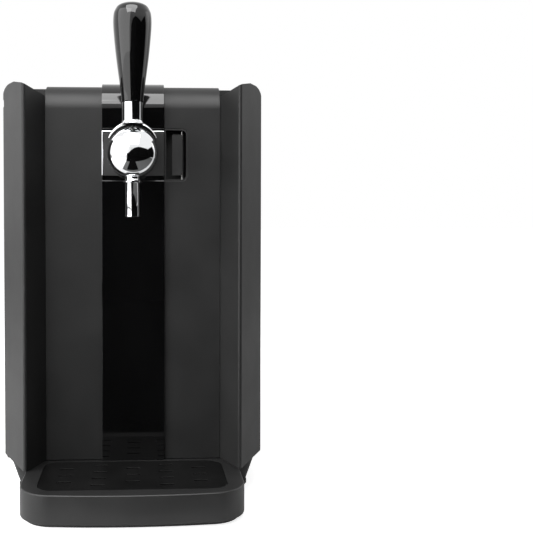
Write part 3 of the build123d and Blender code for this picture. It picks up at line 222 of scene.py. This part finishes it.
# %% Black flag and dark mats
def cloth_finish(name, tone):
    """A plain matt grey."""
    material = bpy.data.materials.new(name)
    nodes, links = node_tools(material)
    cloth = nodes.new("ShaderNodeBsdfDiffuse")
    cloth.inputs["Color"].default_value = (tone, tone, tone, 1)
    out = nodes.new("ShaderNodeOutputMaterial")
    links.new(cloth.outputs[0], out.inputs["Surface"])
    return material


def hung_cloth(name, tone, faces):
    """A cloth that only reflections see. It is given by its faces, each a loop of points."""
    bm = bmesh.new()
    for loop in faces:
        bm.faces.new([bm.verts.new(point) for point in loop])
    bmesh.ops.remove_doubles(bm, verts=bm.verts, dist=1e-5)
    mesh = bpy.data.meshes.new(name)
    bm.to_mesh(mesh)
    bm.free()
    mesh.materials.append(cloth_finish(name, tone))
    holder = bpy.data.objects.new(name, mesh)
    bpy.context.scene.collection.objects.link(holder)
    holder.visible_camera = False
    holder.visible_diffuse = False
    holder.visible_shadow = False
    holder.visible_transmission = False
    print(name, "reaches", [round(v, 2) for v in holder.dimensions])


black_cloth = 0.004
grey_cloth = 0.14
flag_distance = 1.9
flag_foot = 0.001
flag_line = ((-16, 0.32), (-10, 0.42), (-5, 0.62), (0, 0.73), (5, 0.86), (18, 0.98), (50, 0.74), (76, 1.05),
             (84, 0.60))
stands = [(flag_distance * sin(radians(a)), -flag_distance * cos(radians(a)), top) for a, top in flag_line]
hung_cloth("black_flag", black_cloth,
           [[(x0, y0, flag_foot), (x1, y1, flag_foot), (x1, y1, top1), (x0, y0, top0)]
            for (x0, y0, top0), (x1, y1, top1) in zip(stands, stands[1:])])

black_mat_height = 0.003
grey_mat_height = 0.002
far_mat = ((-0.27, -0.82), (-0.58, -1.95), (2.40, -1.95), (1.60, -0.82))
lane = ((-0.12, -0.33), (-0.12, -0.83), (0.12, -0.83), (0.12, -0.33))
near_mat = ((-0.22, -0.29), (-0.27, -0.83), (1.60, -0.83), (1.40, -0.25), (0.03, -0.25))
hung_cloth("black_mat", black_cloth,
           [[(x, y, black_mat_height) for x, y in loop] for loop in (far_mat, lane)])
hung_cloth("grey_mat", grey_cloth, [[(x, y, grey_mat_height) for x, y in near_mat]])

# %% [markdown]
# ## Finishes
# The body is moulded plastic. A mould leaves a fine grain, and the gloss differs a little from place to
# place with the flow of the plastic and with handling. Both are made of noise that is read in Object
# coordinates, so the grain has its real size in millimetres on every piece: a fine noise goes into a bump,
# and a broad one shifts the colour and the roughness. The same recipe with other numbers gives rubber, foam
# and nylon.

# %% Moulded finishes
def noise_at(nodes, links, size, detail=3.0, stretch=None):
    """Noise whose blotches are about size metres across, stretched where a Mapping node says so."""
    place = nodes.new("ShaderNodeTexCoord").outputs["Object"]
    if stretch:
        mapping = nodes.new("ShaderNodeMapping")
        mapping.inputs["Scale"].default_value = stretch
        links.new(place, mapping.inputs["Vector"])
        place = mapping.outputs["Vector"]
    noise = nodes.new("ShaderNodeTexNoise")
    noise.inputs["Scale"].default_value = 1.0 / size
    noise.inputs["Detail"].default_value = detail
    links.new(place, noise.inputs["Vector"])
    return noise.outputs["Fac"]


def ranged(nodes, links, value, low, high, from_low=0.3, from_high=0.7):
    """Noise mostly lies between 0.3 and 0.7, so that part is spread over the wanted range."""
    spread = nodes.new("ShaderNodeMapRange")
    spread.inputs["From Min"].default_value = from_low
    spread.inputs["From Max"].default_value = from_high
    spread.inputs["To Min"].default_value = low
    spread.inputs["To Max"].default_value = high
    links.new(value, spread.inputs["Value"])
    return spread.outputs[0]


def two_tones(nodes, links, value, dark, light, turn=(0.35, 0.65)):
    """Noise made a colour: dark below the first turn, light above the second, a blend between them."""
    ramp = nodes.new("ShaderNodeValToRGB")
    for stop, position, tone in zip(ramp.color_ramp.elements, turn, (dark, light)):
        stop.position = position
        stop.color = (*tone, 1)
    links.new(value, ramp.inputs["Fac"])
    return ramp.outputs["Color"]


def bumped(nodes, links, height, depth):
    """A surface that looks raised by up to depth where the height is 1."""
    bump = nodes.new("ShaderNodeBump")
    bump.inputs["Distance"].default_value = depth
    bump.inputs["Strength"].default_value = 1.0
    links.new(height, bump.inputs["Height"])
    return bump.outputs["Normal"]


def shader(nodes, links, metallic=0.0):
    """The principled shader, wired to the material's output."""
    surface = nodes.new("ShaderNodeBsdfPrincipled")
    surface.inputs["Metallic"].default_value = metallic
    out = nodes.new("ShaderNodeOutputMaterial")
    links.new(surface.outputs[0], out.inputs["Surface"])
    return surface


def moulded(name, dark, light, gloss, grain=0.0005, depth=0.00002, patch=0.045, shine=0.5):
    """Moulded plastic: dark and light are its two close tones, gloss its lowest and highest roughness."""
    material = bpy.data.materials.new(name)
    nodes, links = node_tools(material)
    surface = shader(nodes, links)
    surface.inputs["Specular IOR Level"].default_value = shine
    broad = noise_at(nodes, links, patch)
    links.new(two_tones(nodes, links, broad, dark, light), surface.inputs["Base Color"])
    links.new(ranged(nodes, links, broad, *gloss), surface.inputs["Roughness"])
    links.new(bumped(nodes, links, noise_at(nodes, links, grain, 2.0), depth), surface.inputs["Normal"])
    return material


def grey(low, high, warm=0.0):
    """Two close neutral tones, the second one lighter, with a little warmth if asked."""
    return (low, low, low * (1 - warm)), (high, high, high * (1 - warm))


finish = {
    "body_black": moulded("body_black", *grey(0.0145, 0.0170), gloss=(0.40, 0.47), shine=0.34),
    "frame_black": moulded("frame_black", *grey(0.008, 0.012), gloss=(0.42, 0.55), grain=0.0008),
    "tray_black": moulded("tray_black", *grey(0.019, 0.022), gloss=(0.36, 0.44), grain=0.0006, shine=0.45),
    "grid_black": moulded("grid_black", *grey(0.0035, 0.005), gloss=(0.30, 0.38), grain=0.0006, shine=0.3),
    "plate_grey": moulded("plate_grey", *grey(0.019, 0.024), gloss=(0.34, 0.44), grain=0.0004),
    "magnet_grey": moulded("magnet_grey", *grey(0.09, 0.13), gloss=(0.45, 0.6), grain=0.0006, depth=0.00004),
    "liner_grey": moulded("liner_grey", *grey(0.42, 0.47, 0.02), gloss=(0.30, 0.42), grain=0.0009),
    "foam": moulded("foam", *grey(0.55, 0.66, 0.10), gloss=(0.8, 0.95), grain=0.0025, depth=0.0004,
                    patch=0.012),
    "rubber": moulded("rubber", *grey(0.012, 0.020), gloss=(0.60, 0.78), grain=0.0006, depth=0.00003),
    "lead_black": moulded("lead_black", *grey(0.014, 0.020), gloss=(0.45, 0.55), grain=0.0005),
    "nylon": moulded("nylon", *grey(0.58, 0.66, 0.06), gloss=(0.35, 0.5), grain=0.0007),
    "module_white": moulded("module_white", *grey(0.70, 0.78), gloss=(0.35, 0.45), grain=0.0004),
    "pump_grey": moulded("pump_grey", *grey(0.10, 0.13), gloss=(0.38, 0.5), grain=0.0006),
    "display_grey": moulded("display_grey", *grey(0.035, 0.05), gloss=(0.3, 0.4), grain=0.0006),
}
print("moulded finishes:", sorted(finish))

# %% [markdown]
# ## Polished and metal finishes
# Gloss black is the same plastic from a polished mould: nearly a mirror with a faint waviness and the smears
# that fingers leave, which show as patches of slightly higher roughness. Chrome is a metal with hardly any
# roughness; its look comes from what it reflects, and fine polishing marks keep it from being perfect.
# Brushed aluminium gets its direction from noise that is stretched along the brush strokes.

# %% Polished and metal finishes
def polished(name, colour, roughness, smear, wave=0.000006, coat=0.25, coat_roughness=0.03):
    """Gloss plastic with smears: roughness is that of its clean parts, smear that of the touched ones."""
    material = bpy.data.materials.new(name)
    nodes, links = node_tools(material)
    surface = shader(nodes, links)
    surface.inputs["Coat Weight"].default_value = coat
    surface.inputs["Coat Roughness"].default_value = coat_roughness
    smears = noise_at(nodes, links, 0.022, 6.0, (1.0, 1.0, 0.45))
    links.new(two_tones(nodes, links, smears, colour, tuple(1.25 * c for c in colour)),
              surface.inputs["Base Color"])
    links.new(ranged(nodes, links, smears, roughness, smear, 0.45, 0.75), surface.inputs["Roughness"])
    links.new(bumped(nodes, links, noise_at(nodes, links, 0.03), wave), surface.inputs["Normal"])
    return material


def metal(name, dark, light, gloss, mark=0.0006, stretch=None, depth=0.000004):
    """Metal with polishing marks of the size mark, long ones where stretch draws them out."""
    material = bpy.data.materials.new(name)
    nodes, links = node_tools(material)
    surface = shader(nodes, links, metallic=1.0)
    marks = noise_at(nodes, links, mark, 4.0, stretch)
    broad = noise_at(nodes, links, 0.03)
    links.new(two_tones(nodes, links, broad, dark, light), surface.inputs["Base Color"])
    links.new(ranged(nodes, links, marks, *gloss), surface.inputs["Roughness"])
    links.new(bumped(nodes, links, marks, depth), surface.inputs["Normal"])
    return material


finish["gloss_black"] = polished("gloss_black", (0.0024, 0.0024, 0.0025), 0.035, 0.09)
finish["chrome"] = metal("chrome", (0.86, 0.87, 0.88), (0.92, 0.92, 0.93), (0.02, 0.05), 0.004,
                         depth=0.000001)
finish["steel"] = metal("steel", (0.40, 0.40, 0.39), (0.50, 0.50, 0.48), (0.24, 0.38))
finish["aluminium"] = metal("aluminium", (0.70, 0.71, 0.72), (0.80, 0.80, 0.81), (0.25, 0.42), 0.0007,
                            (1.0, 1.0, 0.05))
print("finishes so far:", len(finish))

# %% [markdown]
# ## Circuit board and clear hose
# Two finishes have a colour pattern or light inside them. A circuit board is green lacquer over copper, with
# straight tracks under it: a brick pattern read in Object coordinates gives tracks of even width. The air
# hose is clear soft plastic, so it takes the principled shader's transmission with a slightly rough surface.

# %% Board and hose finishes
track_scale = 260.0
hose_clearness = 0.75
hose_bending = 1.42

board = bpy.data.materials.new("board_green")
nodes, links = node_tools(board)
surface = shader(nodes, links)
tracks = nodes.new("ShaderNodeTexBrick")
tracks.inputs["Scale"].default_value = track_scale
tracks.inputs["Color1"].default_value = (0.008, 0.060, 0.022, 1)
tracks.inputs["Color2"].default_value = (0.010, 0.072, 0.028, 1)
tracks.inputs["Mortar"].default_value = (0.030, 0.150, 0.060, 1)
tracks.inputs["Mortar Size"].default_value = 0.035
links.new(nodes.new("ShaderNodeTexCoord").outputs["Object"], tracks.inputs["Vector"])
links.new(tracks.outputs["Color"], surface.inputs["Base Color"])
links.new(ranged(nodes, links, noise_at(nodes, links, 0.01), 0.22, 0.36), surface.inputs["Roughness"])
links.new(bumped(nodes, links, tracks.outputs["Fac"], 0.00003), surface.inputs["Normal"])
finish["board_green"] = board

hose = bpy.data.materials.new("clear_hose")
nodes, links = node_tools(hose)
surface = shader(nodes, links)
surface.inputs["Transmission Weight"].default_value = hose_clearness
surface.inputs["IOR"].default_value = hose_bending
haze = noise_at(nodes, links, 0.004)
links.new(two_tones(nodes, links, haze, (0.80, 0.83, 0.82), (0.90, 0.92, 0.91)), surface.inputs["Base Color"])
links.new(ranged(nodes, links, haze, 0.12, 0.26), surface.inputs["Roughness"])
finish["clear_hose"] = hose
print("finishes in all:", len(finish))

# %% [markdown]
# ## Dress every CAD piece
# The record names the material slot of each node, so one loop gives all sixty their finish. A slot is linked
# to the object and not to the mesh, which leaves the CAD mesh as it is.

# %% Dress every CAD piece
slot_of = {part["node"]: part["material_slot"] for part in frame["record"]["subparts"]}
for node, piece in frame["nodes"].items():
    for place in piece.material_slots:
        place.link = "OBJECT"
        place.material = finish[slot_of[node]]
print("dressed", len(slot_of), "nodes")

# %% [markdown]
# ## Tools for the pieces
# A finished piece needs the same few things each time: its mesh, smooth shading that stops at hard edges,
# its finish, the body that it moves with and the CAD node that it stands for. `fitted` does all of that.
# `eased` rounds every edge that is sharper than an angle, as a mould or a file does.

# %% Tools for the pieces
def eased(bm, width, angle=40, segments=3):
    """Rounds the edges that turn by more than the angle, in degrees."""
    sharp = [e for e in bm.edges if len(e.link_faces) == 2 and e.calc_face_angle(0) > radians(angle)]
    bmesh.ops.bevel(bm, geom=sharp, affect="EDGES", offset=width, offset_type="OFFSET", segments=segments,
                    profile=0.5, material=-1, clamp_overlap=True)


def fitted(bm, name, body, node, sharp=38, flat=False):
    """Makes the object of a mesh, gives it its finish and lets it ride on its body in place of the CAD node.

    A flat piece takes its shading from its large faces, so that rounded edges leave them looking flat.
    """
    slot = slot_of[node]
    mesh = bpy.data.meshes.new(name)
    bm.to_mesh(mesh)
    bm.free()
    for face in mesh.polygons:
        face.use_smooth = True
    mesh.set_sharp_from_angle(angle=radians(sharp))
    mesh.materials.append(finish[slot])
    piece = bpy.data.objects.new(name, mesh)
    bpy.context.scene.collection.objects.link(piece)
    if flat:
        shading = piece.modifiers.new("flat_faces", "WEIGHTED_NORMAL")
        shading.keep_sharp = True
    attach(piece, body)
    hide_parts(node)
    print(name, "faces", len(mesh.polygons), "size mm", [round(1000 * v, 1) for v in piece.dimensions])


def turned(outline, centre, axis=(0, 0, 1), steps=96):
    """Spins (radius, height) points in a full turn round an axis through centre, as on a lathe."""
    bm = bmesh.new()
    points = [bm.verts.new((radius, 0, height)) for radius, height in outline]
    line = [bm.edges.new(pair) for pair in zip(points, points[1:])]
    bmesh.ops.spin(bm, geom=points + line, cent=(0, 0, 0), axis=(0, 0, 1), angle=2 * pi, steps=steps,
                   use_merge=True)
    bmesh.ops.remove_doubles(bm, verts=bm.verts, dist=1e-6)
    bmesh.ops.recalc_face_normals(bm, faces=bm.faces)
    lean = Vector((0, 0, 1)).rotation_difference(Vector(axis)).to_matrix().to_4x4()
    bmesh.ops.transform(bm, matrix=Matrix.Translation(centre) @ lean, verts=bm.verts)
    return bm


def raised(corners, height, up=(0, 0, 1)):
    """A flat outline, given as points in space, drawn out along a direction."""
    bm = bmesh.new()
    face = bm.faces.new([bm.verts.new(corner) for corner in corners])
    grown = bmesh.ops.extrude_face_region(bm, geom=[face])
    tops = [g for g in grown["geom"] if isinstance(g, bmesh.types.BMVert)]
    bmesh.ops.translate(bm, verts=tops, vec=height * Vector(up))
    bmesh.ops.recalc_face_normals(bm, faces=bm.faces)
    return bm


def quarter(steps):
    """The angles of a quarter turn in equal steps, for rounded corners and bends."""
    return [pi / 2 * i / steps for i in range(steps + 1)]


def mm(*values):
    """Millimetres made metres."""
    return tuple(v / 1000 for v in values)


def brick(x0, x1, y0, y1, z0, z1):
    """A block between two places along each axis."""
    return raised([(x0, y0, z0), (x1, y0, z0), (x1, y1, z0), (x0, y1, z0)], z1 - z0)


def cut_out(bm, *tools, operation="DIFFERENCE"):
    """Cuts each tool's shape out of a mesh with Boolean modifiers, or joins it on."""
    blank_mesh = bpy.data.meshes.new("blank")
    bm.to_mesh(blank_mesh)
    bm.free()
    blank = bpy.data.objects.new("blank", blank_mesh)
    bpy.context.scene.collection.objects.link(blank)
    helpers = [blank]
    for tool in tools:
        tool_mesh = bpy.data.meshes.new("tool")
        tool.to_mesh(tool_mesh)
        tool.free()
        cutter = bpy.data.objects.new("tool", tool_mesh)
        bpy.context.scene.collection.objects.link(cutter)
        helpers.append(cutter)
        step = blank.modifiers.new("cut", "BOOLEAN")
        step.operation = operation
        step.solver = "EXACT"
        step.object = cutter
    ready = bpy.context.evaluated_depsgraph_get()
    left = bmesh.new()
    left.from_mesh(blank.evaluated_get(ready).to_mesh())
    for helper in helpers:
        bpy.data.objects.remove(helper)
    bmesh.ops.remove_doubles(left, verts=left.verts, dist=1e-6)
    return left


def softened(node, body, width, angle=32, flat_within=0.6):
    """A copy of a CAD node whose triangles are joined up again, with its hard edges rounded."""
    bm = bmesh.new()
    bm.from_mesh(frame["nodes"][node].data)
    bmesh.ops.remove_doubles(bm, verts=bm.verts, dist=2e-6)
    bmesh.ops.dissolve_limit(bm, angle_limit=radians(flat_within), verts=bm.verts, edges=bm.edges)
    eased(bm, width, angle, segments=2)
    fitted(bm, node + "_eased", body, node, flat=True)


print("tools ready")

# %% [markdown]
# ## Ball
# The tap's body is a chromed brass ball on a neck that carries it from the door. A ready-made sphere would
# have to be joined to a neck and a flange. Turned round the neck's own axis, all three come as one piece: the
# outline runs from the front of the ball over its side and down to the neck and its flange. Its face is a
# little flatter than a sphere's, so that the mirror shows the studio up to its rim. The slot on top, in which
# the lever swings, and the hole for the spout are cut afterwards, because nothing on a lathe makes them.

# %% Ball
ball_low, ball_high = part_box("tap_ball")
ball_radius = (ball_high.x - ball_low.x) / 2
ball_centre = Vector((0, ball_low.y + ball_radius, ball_low.z + ball_radius))
fine_turn = 128
skin_steps = 72
face_depth = 0.68
neck_radius = 0.012
flange_radius = 0.015
flange_ease = 0.0005
flange_thickness = 0.003
flange_back = ball_high.y - ball_centre.y
flange_front = flange_back - flange_thickness
neck_turn = pi - asin(neck_radius / ball_radius)
skin = [(ball_radius * sin(a), -ball_radius * cos(a) * (face_depth if a < pi / 2 else 1))
        for a in (neck_turn * i / skin_steps for i in range(skin_steps + 1))]
neck = [(neck_radius, flange_front), (flange_radius - flange_ease, flange_front),
        (flange_radius, flange_front + flange_ease), (flange_radius, flange_back), (0, flange_back)]
ball = turned(skin + neck, ball_centre, (0, 1, 0), fine_turn)

slot_half = 0.0038
slot_front, slot_back, slot_floor = ball_centre.y - 0.008, ball_centre.y + 0.011, ball_centre.z + 0.005
lever_slot = brick(-slot_half, slot_half, slot_front, slot_back, slot_floor, ball_high.z + 0.01)
spout_low, spout_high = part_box("spout_tube")
socket_radius = 0.0069
socket_drop = -0.03
socket = turned([(0, socket_drop), (socket_radius, socket_drop), (socket_radius, 0), (0, 0)],
                Vector((0, ball_centre.y, spout_high.z)))
fitted(cut_out(ball, lever_slot, socket), "ball", "door", "tap_ball")

# %% [markdown]
# ## Spout
# The spout is a chromed tube that is pressed into the ball from below. A thin collar marks where it goes in,
# and above the collar the metal sweeps up to the tube in a hollow curve. The open end shows its wall and its
# dark bore, so the outline goes up inside the tube and comes back down outside it.

# %% Spout
spout_radius = 0.00685
spout_bore = 0.0052
lip_ease = 0.0004
collar_reach = 0.0018
collar_height = 0.0010
collar_z = ball_centre.z - ball_radius - 0.0034
sweep_height = 0.0030
sweep = [(spout_radius + collar_reach * (1 - sin(a)), collar_z + collar_height + sweep_height * (1 - cos(a)))
         for a in quarter(8)]
outside = [(spout_radius + collar_reach, collar_z), (spout_radius + 0.0003, collar_z - 0.0002),
           (spout_radius, collar_z - 0.0006), (spout_radius, spout_low.z + lip_ease),
           (spout_radius - lip_ease, spout_low.z), (spout_bore + lip_ease, spout_low.z),
           (spout_bore, spout_low.z + lip_ease)]
tube = [(spout_bore, spout_high.z), (spout_radius, spout_high.z)] + sweep[::-1] + outside
fitted(turned(tube + tube[:1], Vector((0, ball_centre.y, 0))), "spout", "door", "spout_tube")

# %% [markdown]
# ## Ferrule and hood
# Under the handle sits a chromed ferrule that spreads into a thin hood. The hood hugs the ball like a cap and
# covers the slot while the lever is upright. Its arch is thick over the ball and thin at its ends, and its
# rounded outer edge catches the top light as one bright line. Each cross section is a loop of points, and
# bridging one loop to the next gives the arch; the ferrule is turned and then joined to it.

# %% Ferrule and hood
ferrule_radius = 0.010
ferrule_ease = 0.0004
hood_inside = ball_radius + 0.0012
hood_crown = ball_radius + 0.0060
hood_tip = ball_radius + 0.0026
hood_reach = radians(58)
hood_front, hood_round, hood_back = -0.0034, 0.0019, 0.0195
ferrule_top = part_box("tap_handle")[0].z - 0.0001 - ball_centre.z


def hood_section(turn):
    """One cross section of the arch: flat in front with a rounded outer edge, square behind."""
    share = (cos(turn) - cos(hood_reach)) / (1 - cos(hood_reach))
    outside = hood_tip + (hood_crown - hood_tip) * share
    bend = hood_round * (outside - hood_inside) / (hood_crown - hood_inside)
    rounded = [(outside - bend * (1 - sin(a)), hood_front + bend * (1 - cos(a))) for a in quarter(6)]
    loop = [(hood_inside, hood_front)] + rounded + [(outside, hood_back), (hood_inside, hood_back)]
    return [(r * sin(turn), y, r * cos(turn)) for r, y in loop]


half_sections = 24
arch = bmesh.new()
rings = []
for i in range(2 * half_sections + 1):
    ring = [arch.verts.new(point) for point in hood_section(hood_reach * (i / half_sections - 1))]
    rings.append([arch.edges.new(pair) for pair in zip(ring, ring[1:] + ring[:1])])
for near, far in zip(rings, rings[1:]):
    bmesh.ops.bridge_loops(arch, edges=near + far)
for ring in (rings[0], rings[-1]):
    bmesh.ops.contextual_create(arch, geom=ring)
bmesh.ops.recalc_face_normals(arch, faces=arch.faces)
bmesh.ops.translate(arch, verts=arch.verts, vec=ball_centre)
foot_ring = [mm(0, 27.6), mm(11.3, 27.6), mm(11.5, 27.9), mm(11.0, 28.4), mm(10.5, 29.2), mm(10.1, 30.4)]
stem = [(ferrule_radius, 0.0315), (ferrule_radius, ferrule_top - ferrule_ease),
        (ferrule_radius - ferrule_ease, ferrule_top), (0, ferrule_top)]
hood = cut_out(arch, turned(foot_ring + stem, ball_centre, steps=fine_turn), operation="UNION")
fitted(hood, "ferrule_and_hood", "tap_lever", "handle_ferrule")

# %% [markdown]
# ## Lever shank
# The steel shank joins the hood to the valve inside the ball. Where it leaves the slot it is turned down to
# a thin neck. Its CAD mesh is cut by a level plane near the ball's top, which gives a ring of points there,
# and all that lies above is drawn in towards the shank's own middle.

# %% Lever shank
neck_share = 0.6
cut_drop = 0.0010
narrow_drop = 0.0012
shank = bmesh.new()
shank.from_mesh(frame["nodes"]["lever_shank"].data)
bmesh.ops.remove_doubles(shank, verts=shank.verts, dist=2e-6)
bmesh.ops.bisect_plane(shank, geom=shank.verts[:] + shank.edges[:] + shank.faces[:],
                       plane_co=ball_high - Vector((0, 0, cut_drop)), plane_no=(0, 0, 1))
for vert in shank.verts:
    if vert.co.z > ball_high.z - narrow_drop:
        vert.co.x *= neck_share
        vert.co.y = ball_centre.y + neck_share * (vert.co.y - ball_centre.y)
fitted(shank, "shank", "tap_lever", "lever_shank")

# %% [markdown]
# ## Handle
# The handle is turned from black plastic and polished. It swells slowly from its foot, is widest near its
# top and ends in a shallow crown. Such a line is given best by a few measured stations and a smooth curve
# through them; a Catmull-Rom spline passes through every station, so the measured widths stay true.

# %% Handle
def through(stations, steps):
    """A smooth line through all stations."""
    line = []
    ends = [stations[0]] + list(stations) + [stations[-1]]
    for before, here, after, beyond in zip(ends, ends[1:], ends[2:], ends[3:]):
        for i in range(steps):
            t = i / steps
            line.append(tuple(0.5 * (2 * b + (c - a) * t + (2 * a - 5 * b + 4 * c - d) * t ** 2
                                     + (3 * b - a - 3 * c + d) * t ** 3)
                              for a, b, c, d in zip(before, here, after, beyond)))
    return line + [stations[-1]]


handle_low, handle_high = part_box("tap_handle")
foot = handle_low.z
crown = handle_high.z
stations = [mm(10.4, 0.4), mm(11.2, 9.0), mm(12.4, 18.5), mm(14.0, 30.2), mm(15.9, 45.3), mm(17.4, 60.5),
            mm(18.3, 73.7), mm(17.9, 82.6), mm(16.5, 86.9), mm(14.0, 90.6), mm(9.5, 92.9), mm(4.5, 93.7),
            (0.0, crown - foot)]
outline = [(0.0, 0.0), mm(10.0, 0.0)] + through(stations, steps=8)
handle = turned(outline, Vector((0, ball_centre.y, foot)), steps=fine_turn)
fitted(handle, "handle", "tap_lever", "tap_handle")

# %% [markdown]
# ## Front panel and centre strip
# Two sheets make the middle of the door. The wide one is matt and bends back over the top with a large
# radius; the narrow gloss one lies on it and bends with it. Both are drawn as a side view, a front leg, a
# quarter bend and a top leg, and pushed sideways to their width. Windows are cut before the edges are
# rounded, so that their edges are rounded too.

# %% Front panel and centre strip
def bent_sheet(low, high, bend, thickness, bottom):
    """A sheet in a box: its front stands upright, and its top goes back to the rear of the box."""
    centre_y, centre_z = low.y + bend, high.z - bend
    inside = bend - thickness
    outer = [(centre_y - bend * cos(a), centre_z + bend * sin(a)) for a in quarter(20)]
    inner = [(centre_y - inside * cos(a), centre_z + inside * sin(a)) for a in quarter(20)]
    side = ([(low.y, bottom)] + outer + [(high.y, high.z), (high.y, high.z - thickness)] + inner[::-1]
            + [(low.y + thickness, bottom)])
    return raised([(low.x, a, b) for a, b in side], high.x - low.x, (1, 0, 0))


def rounded_window(left, right, bottom, top, radius, front, back):
    """A cutter with square corners on the left and round ones on the right."""
    low_corner = [(right - radius + radius * sin(a), bottom + radius - radius * cos(a)) for a in quarter(8)]
    high_corner = [(right - radius + radius * cos(a), top - radius + radius * sin(a)) for a in quarter(8)]
    corners = [(left, bottom)] + low_corner + high_corner + [(left, top)]
    return raised([(a, front, b) for a, b in corners], back - front, (0, 1, 0))


panel_bend, panel_thickness = 0.025, 0.0025
strip_bend, strip_thickness = 0.028, 0.0029
panel_low, panel_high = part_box("front_panel")
strip_low, strip_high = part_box("centre_strip")
cup_low, cup_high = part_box("recess_cup")
cup_gap = 0.0001
cup_corner = 0.006
guide_radius = 0.00605
guide_reach = 0.02
guide_z = ball_centre.z - 0.003
guide_line = [(0, -guide_reach), (guide_radius, -guide_reach), (guide_radius, guide_reach), (0, guide_reach)]
guide_holes = [turned(guide_line, Vector((0, panel_low.y, guide_z)), (0, 1, 0)) for _ in range(3)]
window = rounded_window(cup_low.x - cup_gap, cup_high.x + cup_gap, cup_low.z - cup_gap, cup_high.z + cup_gap,
                        cup_corner, panel_low.y - 0.002, panel_low.y + 0.004)
panel = cut_out(bent_sheet(panel_low, panel_high, panel_bend, panel_thickness, panel_low.z), window,
                guide_holes.pop())
eased(panel, 0.0006, segments=2)
fitted(panel, "panel_sheet", "door", "front_panel", flat=True)

plate_low, plate_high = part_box("tap_mount_plate")
trim_low, trim_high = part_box("tap_plate_trim")
pocket_depth = 0.0018
pocket = brick(strip_low.x - 0.001, strip_high.x + 0.001, strip_low.y - 0.001, strip_low.y + pocket_depth,
               cup_low.z - cup_gap, cup_high.z + cup_gap)
strip = cut_out(bent_sheet(strip_low, strip_high, strip_bend, strip_thickness, strip_low.z), pocket,
                guide_holes.pop())
eased(strip, 0.0005)
fitted(strip, "strip_sheet", "door", "centre_strip", flat=True)

# %% [markdown]
# ## Plate and trim behind the ball
# The ball stands on a satin grey plate. A bright trim runs down its left side and along its top; it is a
# single bent strip of chromed metal, so one L-shaped outline gives it.

# %% Plate and trim
plate = cut_out(brick(plate_low.x, plate_high.x, plate_low.y, plate_high.y, plate_low.z, plate_high.z),
                guide_holes.pop())
eased(plate, 0.0004)
fitted(plate, "plate", "door", "tap_mount_plate", flat=True)

trim_width = 0.0017
inner_x, inner_z = trim_low.x + trim_width, trim_high.z - trim_width
corner = [(trim_low.x, trim_low.z), (inner_x, trim_low.z), (inner_x, inner_z), (trim_high.x, inner_z),
          (trim_high.x, trim_high.z), (trim_low.x, trim_high.z)]
trim = raised([(a, trim_low.y, b) for a, b in corner], trim_high.y - trim_low.y, (0, 1, 0))
eased(trim, 0.0007)
fitted(trim, "trim", "door", "tap_plate_trim", flat=True)

# %% [markdown]
# ## Mouldings that keep their CAD shape
# The other mouldings have the right shape already and only lack soft edges. Each is copied, its triangles
# are joined up into the faces that they came from, and every hard edge is rounded. Large parts get a larger
# radius, as moulds do: 1.3 mm on the tray, 0.6 mm on the fins and 0.3 mm on small ones. Each new piece is
# named after its CAD node, so a call only says which node it is, which body it moves with and how wide the
# rounding is.

# %% Door mouldings
for node, width in (("left_fin", 0.0006), ("right_fin", 0.0006), ("recess_cup", 0.0004),
                    ("door_inner_panel", 0.0006), ("door_gasket", 0.0005)):
    softened(node, "door", width)
softened("release_lever", "release_lever", 0.0005)

# %% Tray and grid
softened("drip_tray", "drip_tray", 0.0013)
softened("drip_grid", "drip_grid", 0.0005)

# %% Body mouldings
plain_width = 0.0005
for node in ("left_side_panel", "right_side_panel", "top_cover", "rear_cover", "base_frame", "front_frame",
             "keg_chamber_liner"):
    softened(node, "root", plain_width)
for node, width in (("rubber_feet", 0.0003), ("mains_inlet", 0.0003), ("rocker_frame", 0.0003),
                    ("fan_frame", 0.0004), ("display_window", 0.0002)):
    softened(node, "root", width)
softened("power_rocker", "power_rocker", 0.0003)
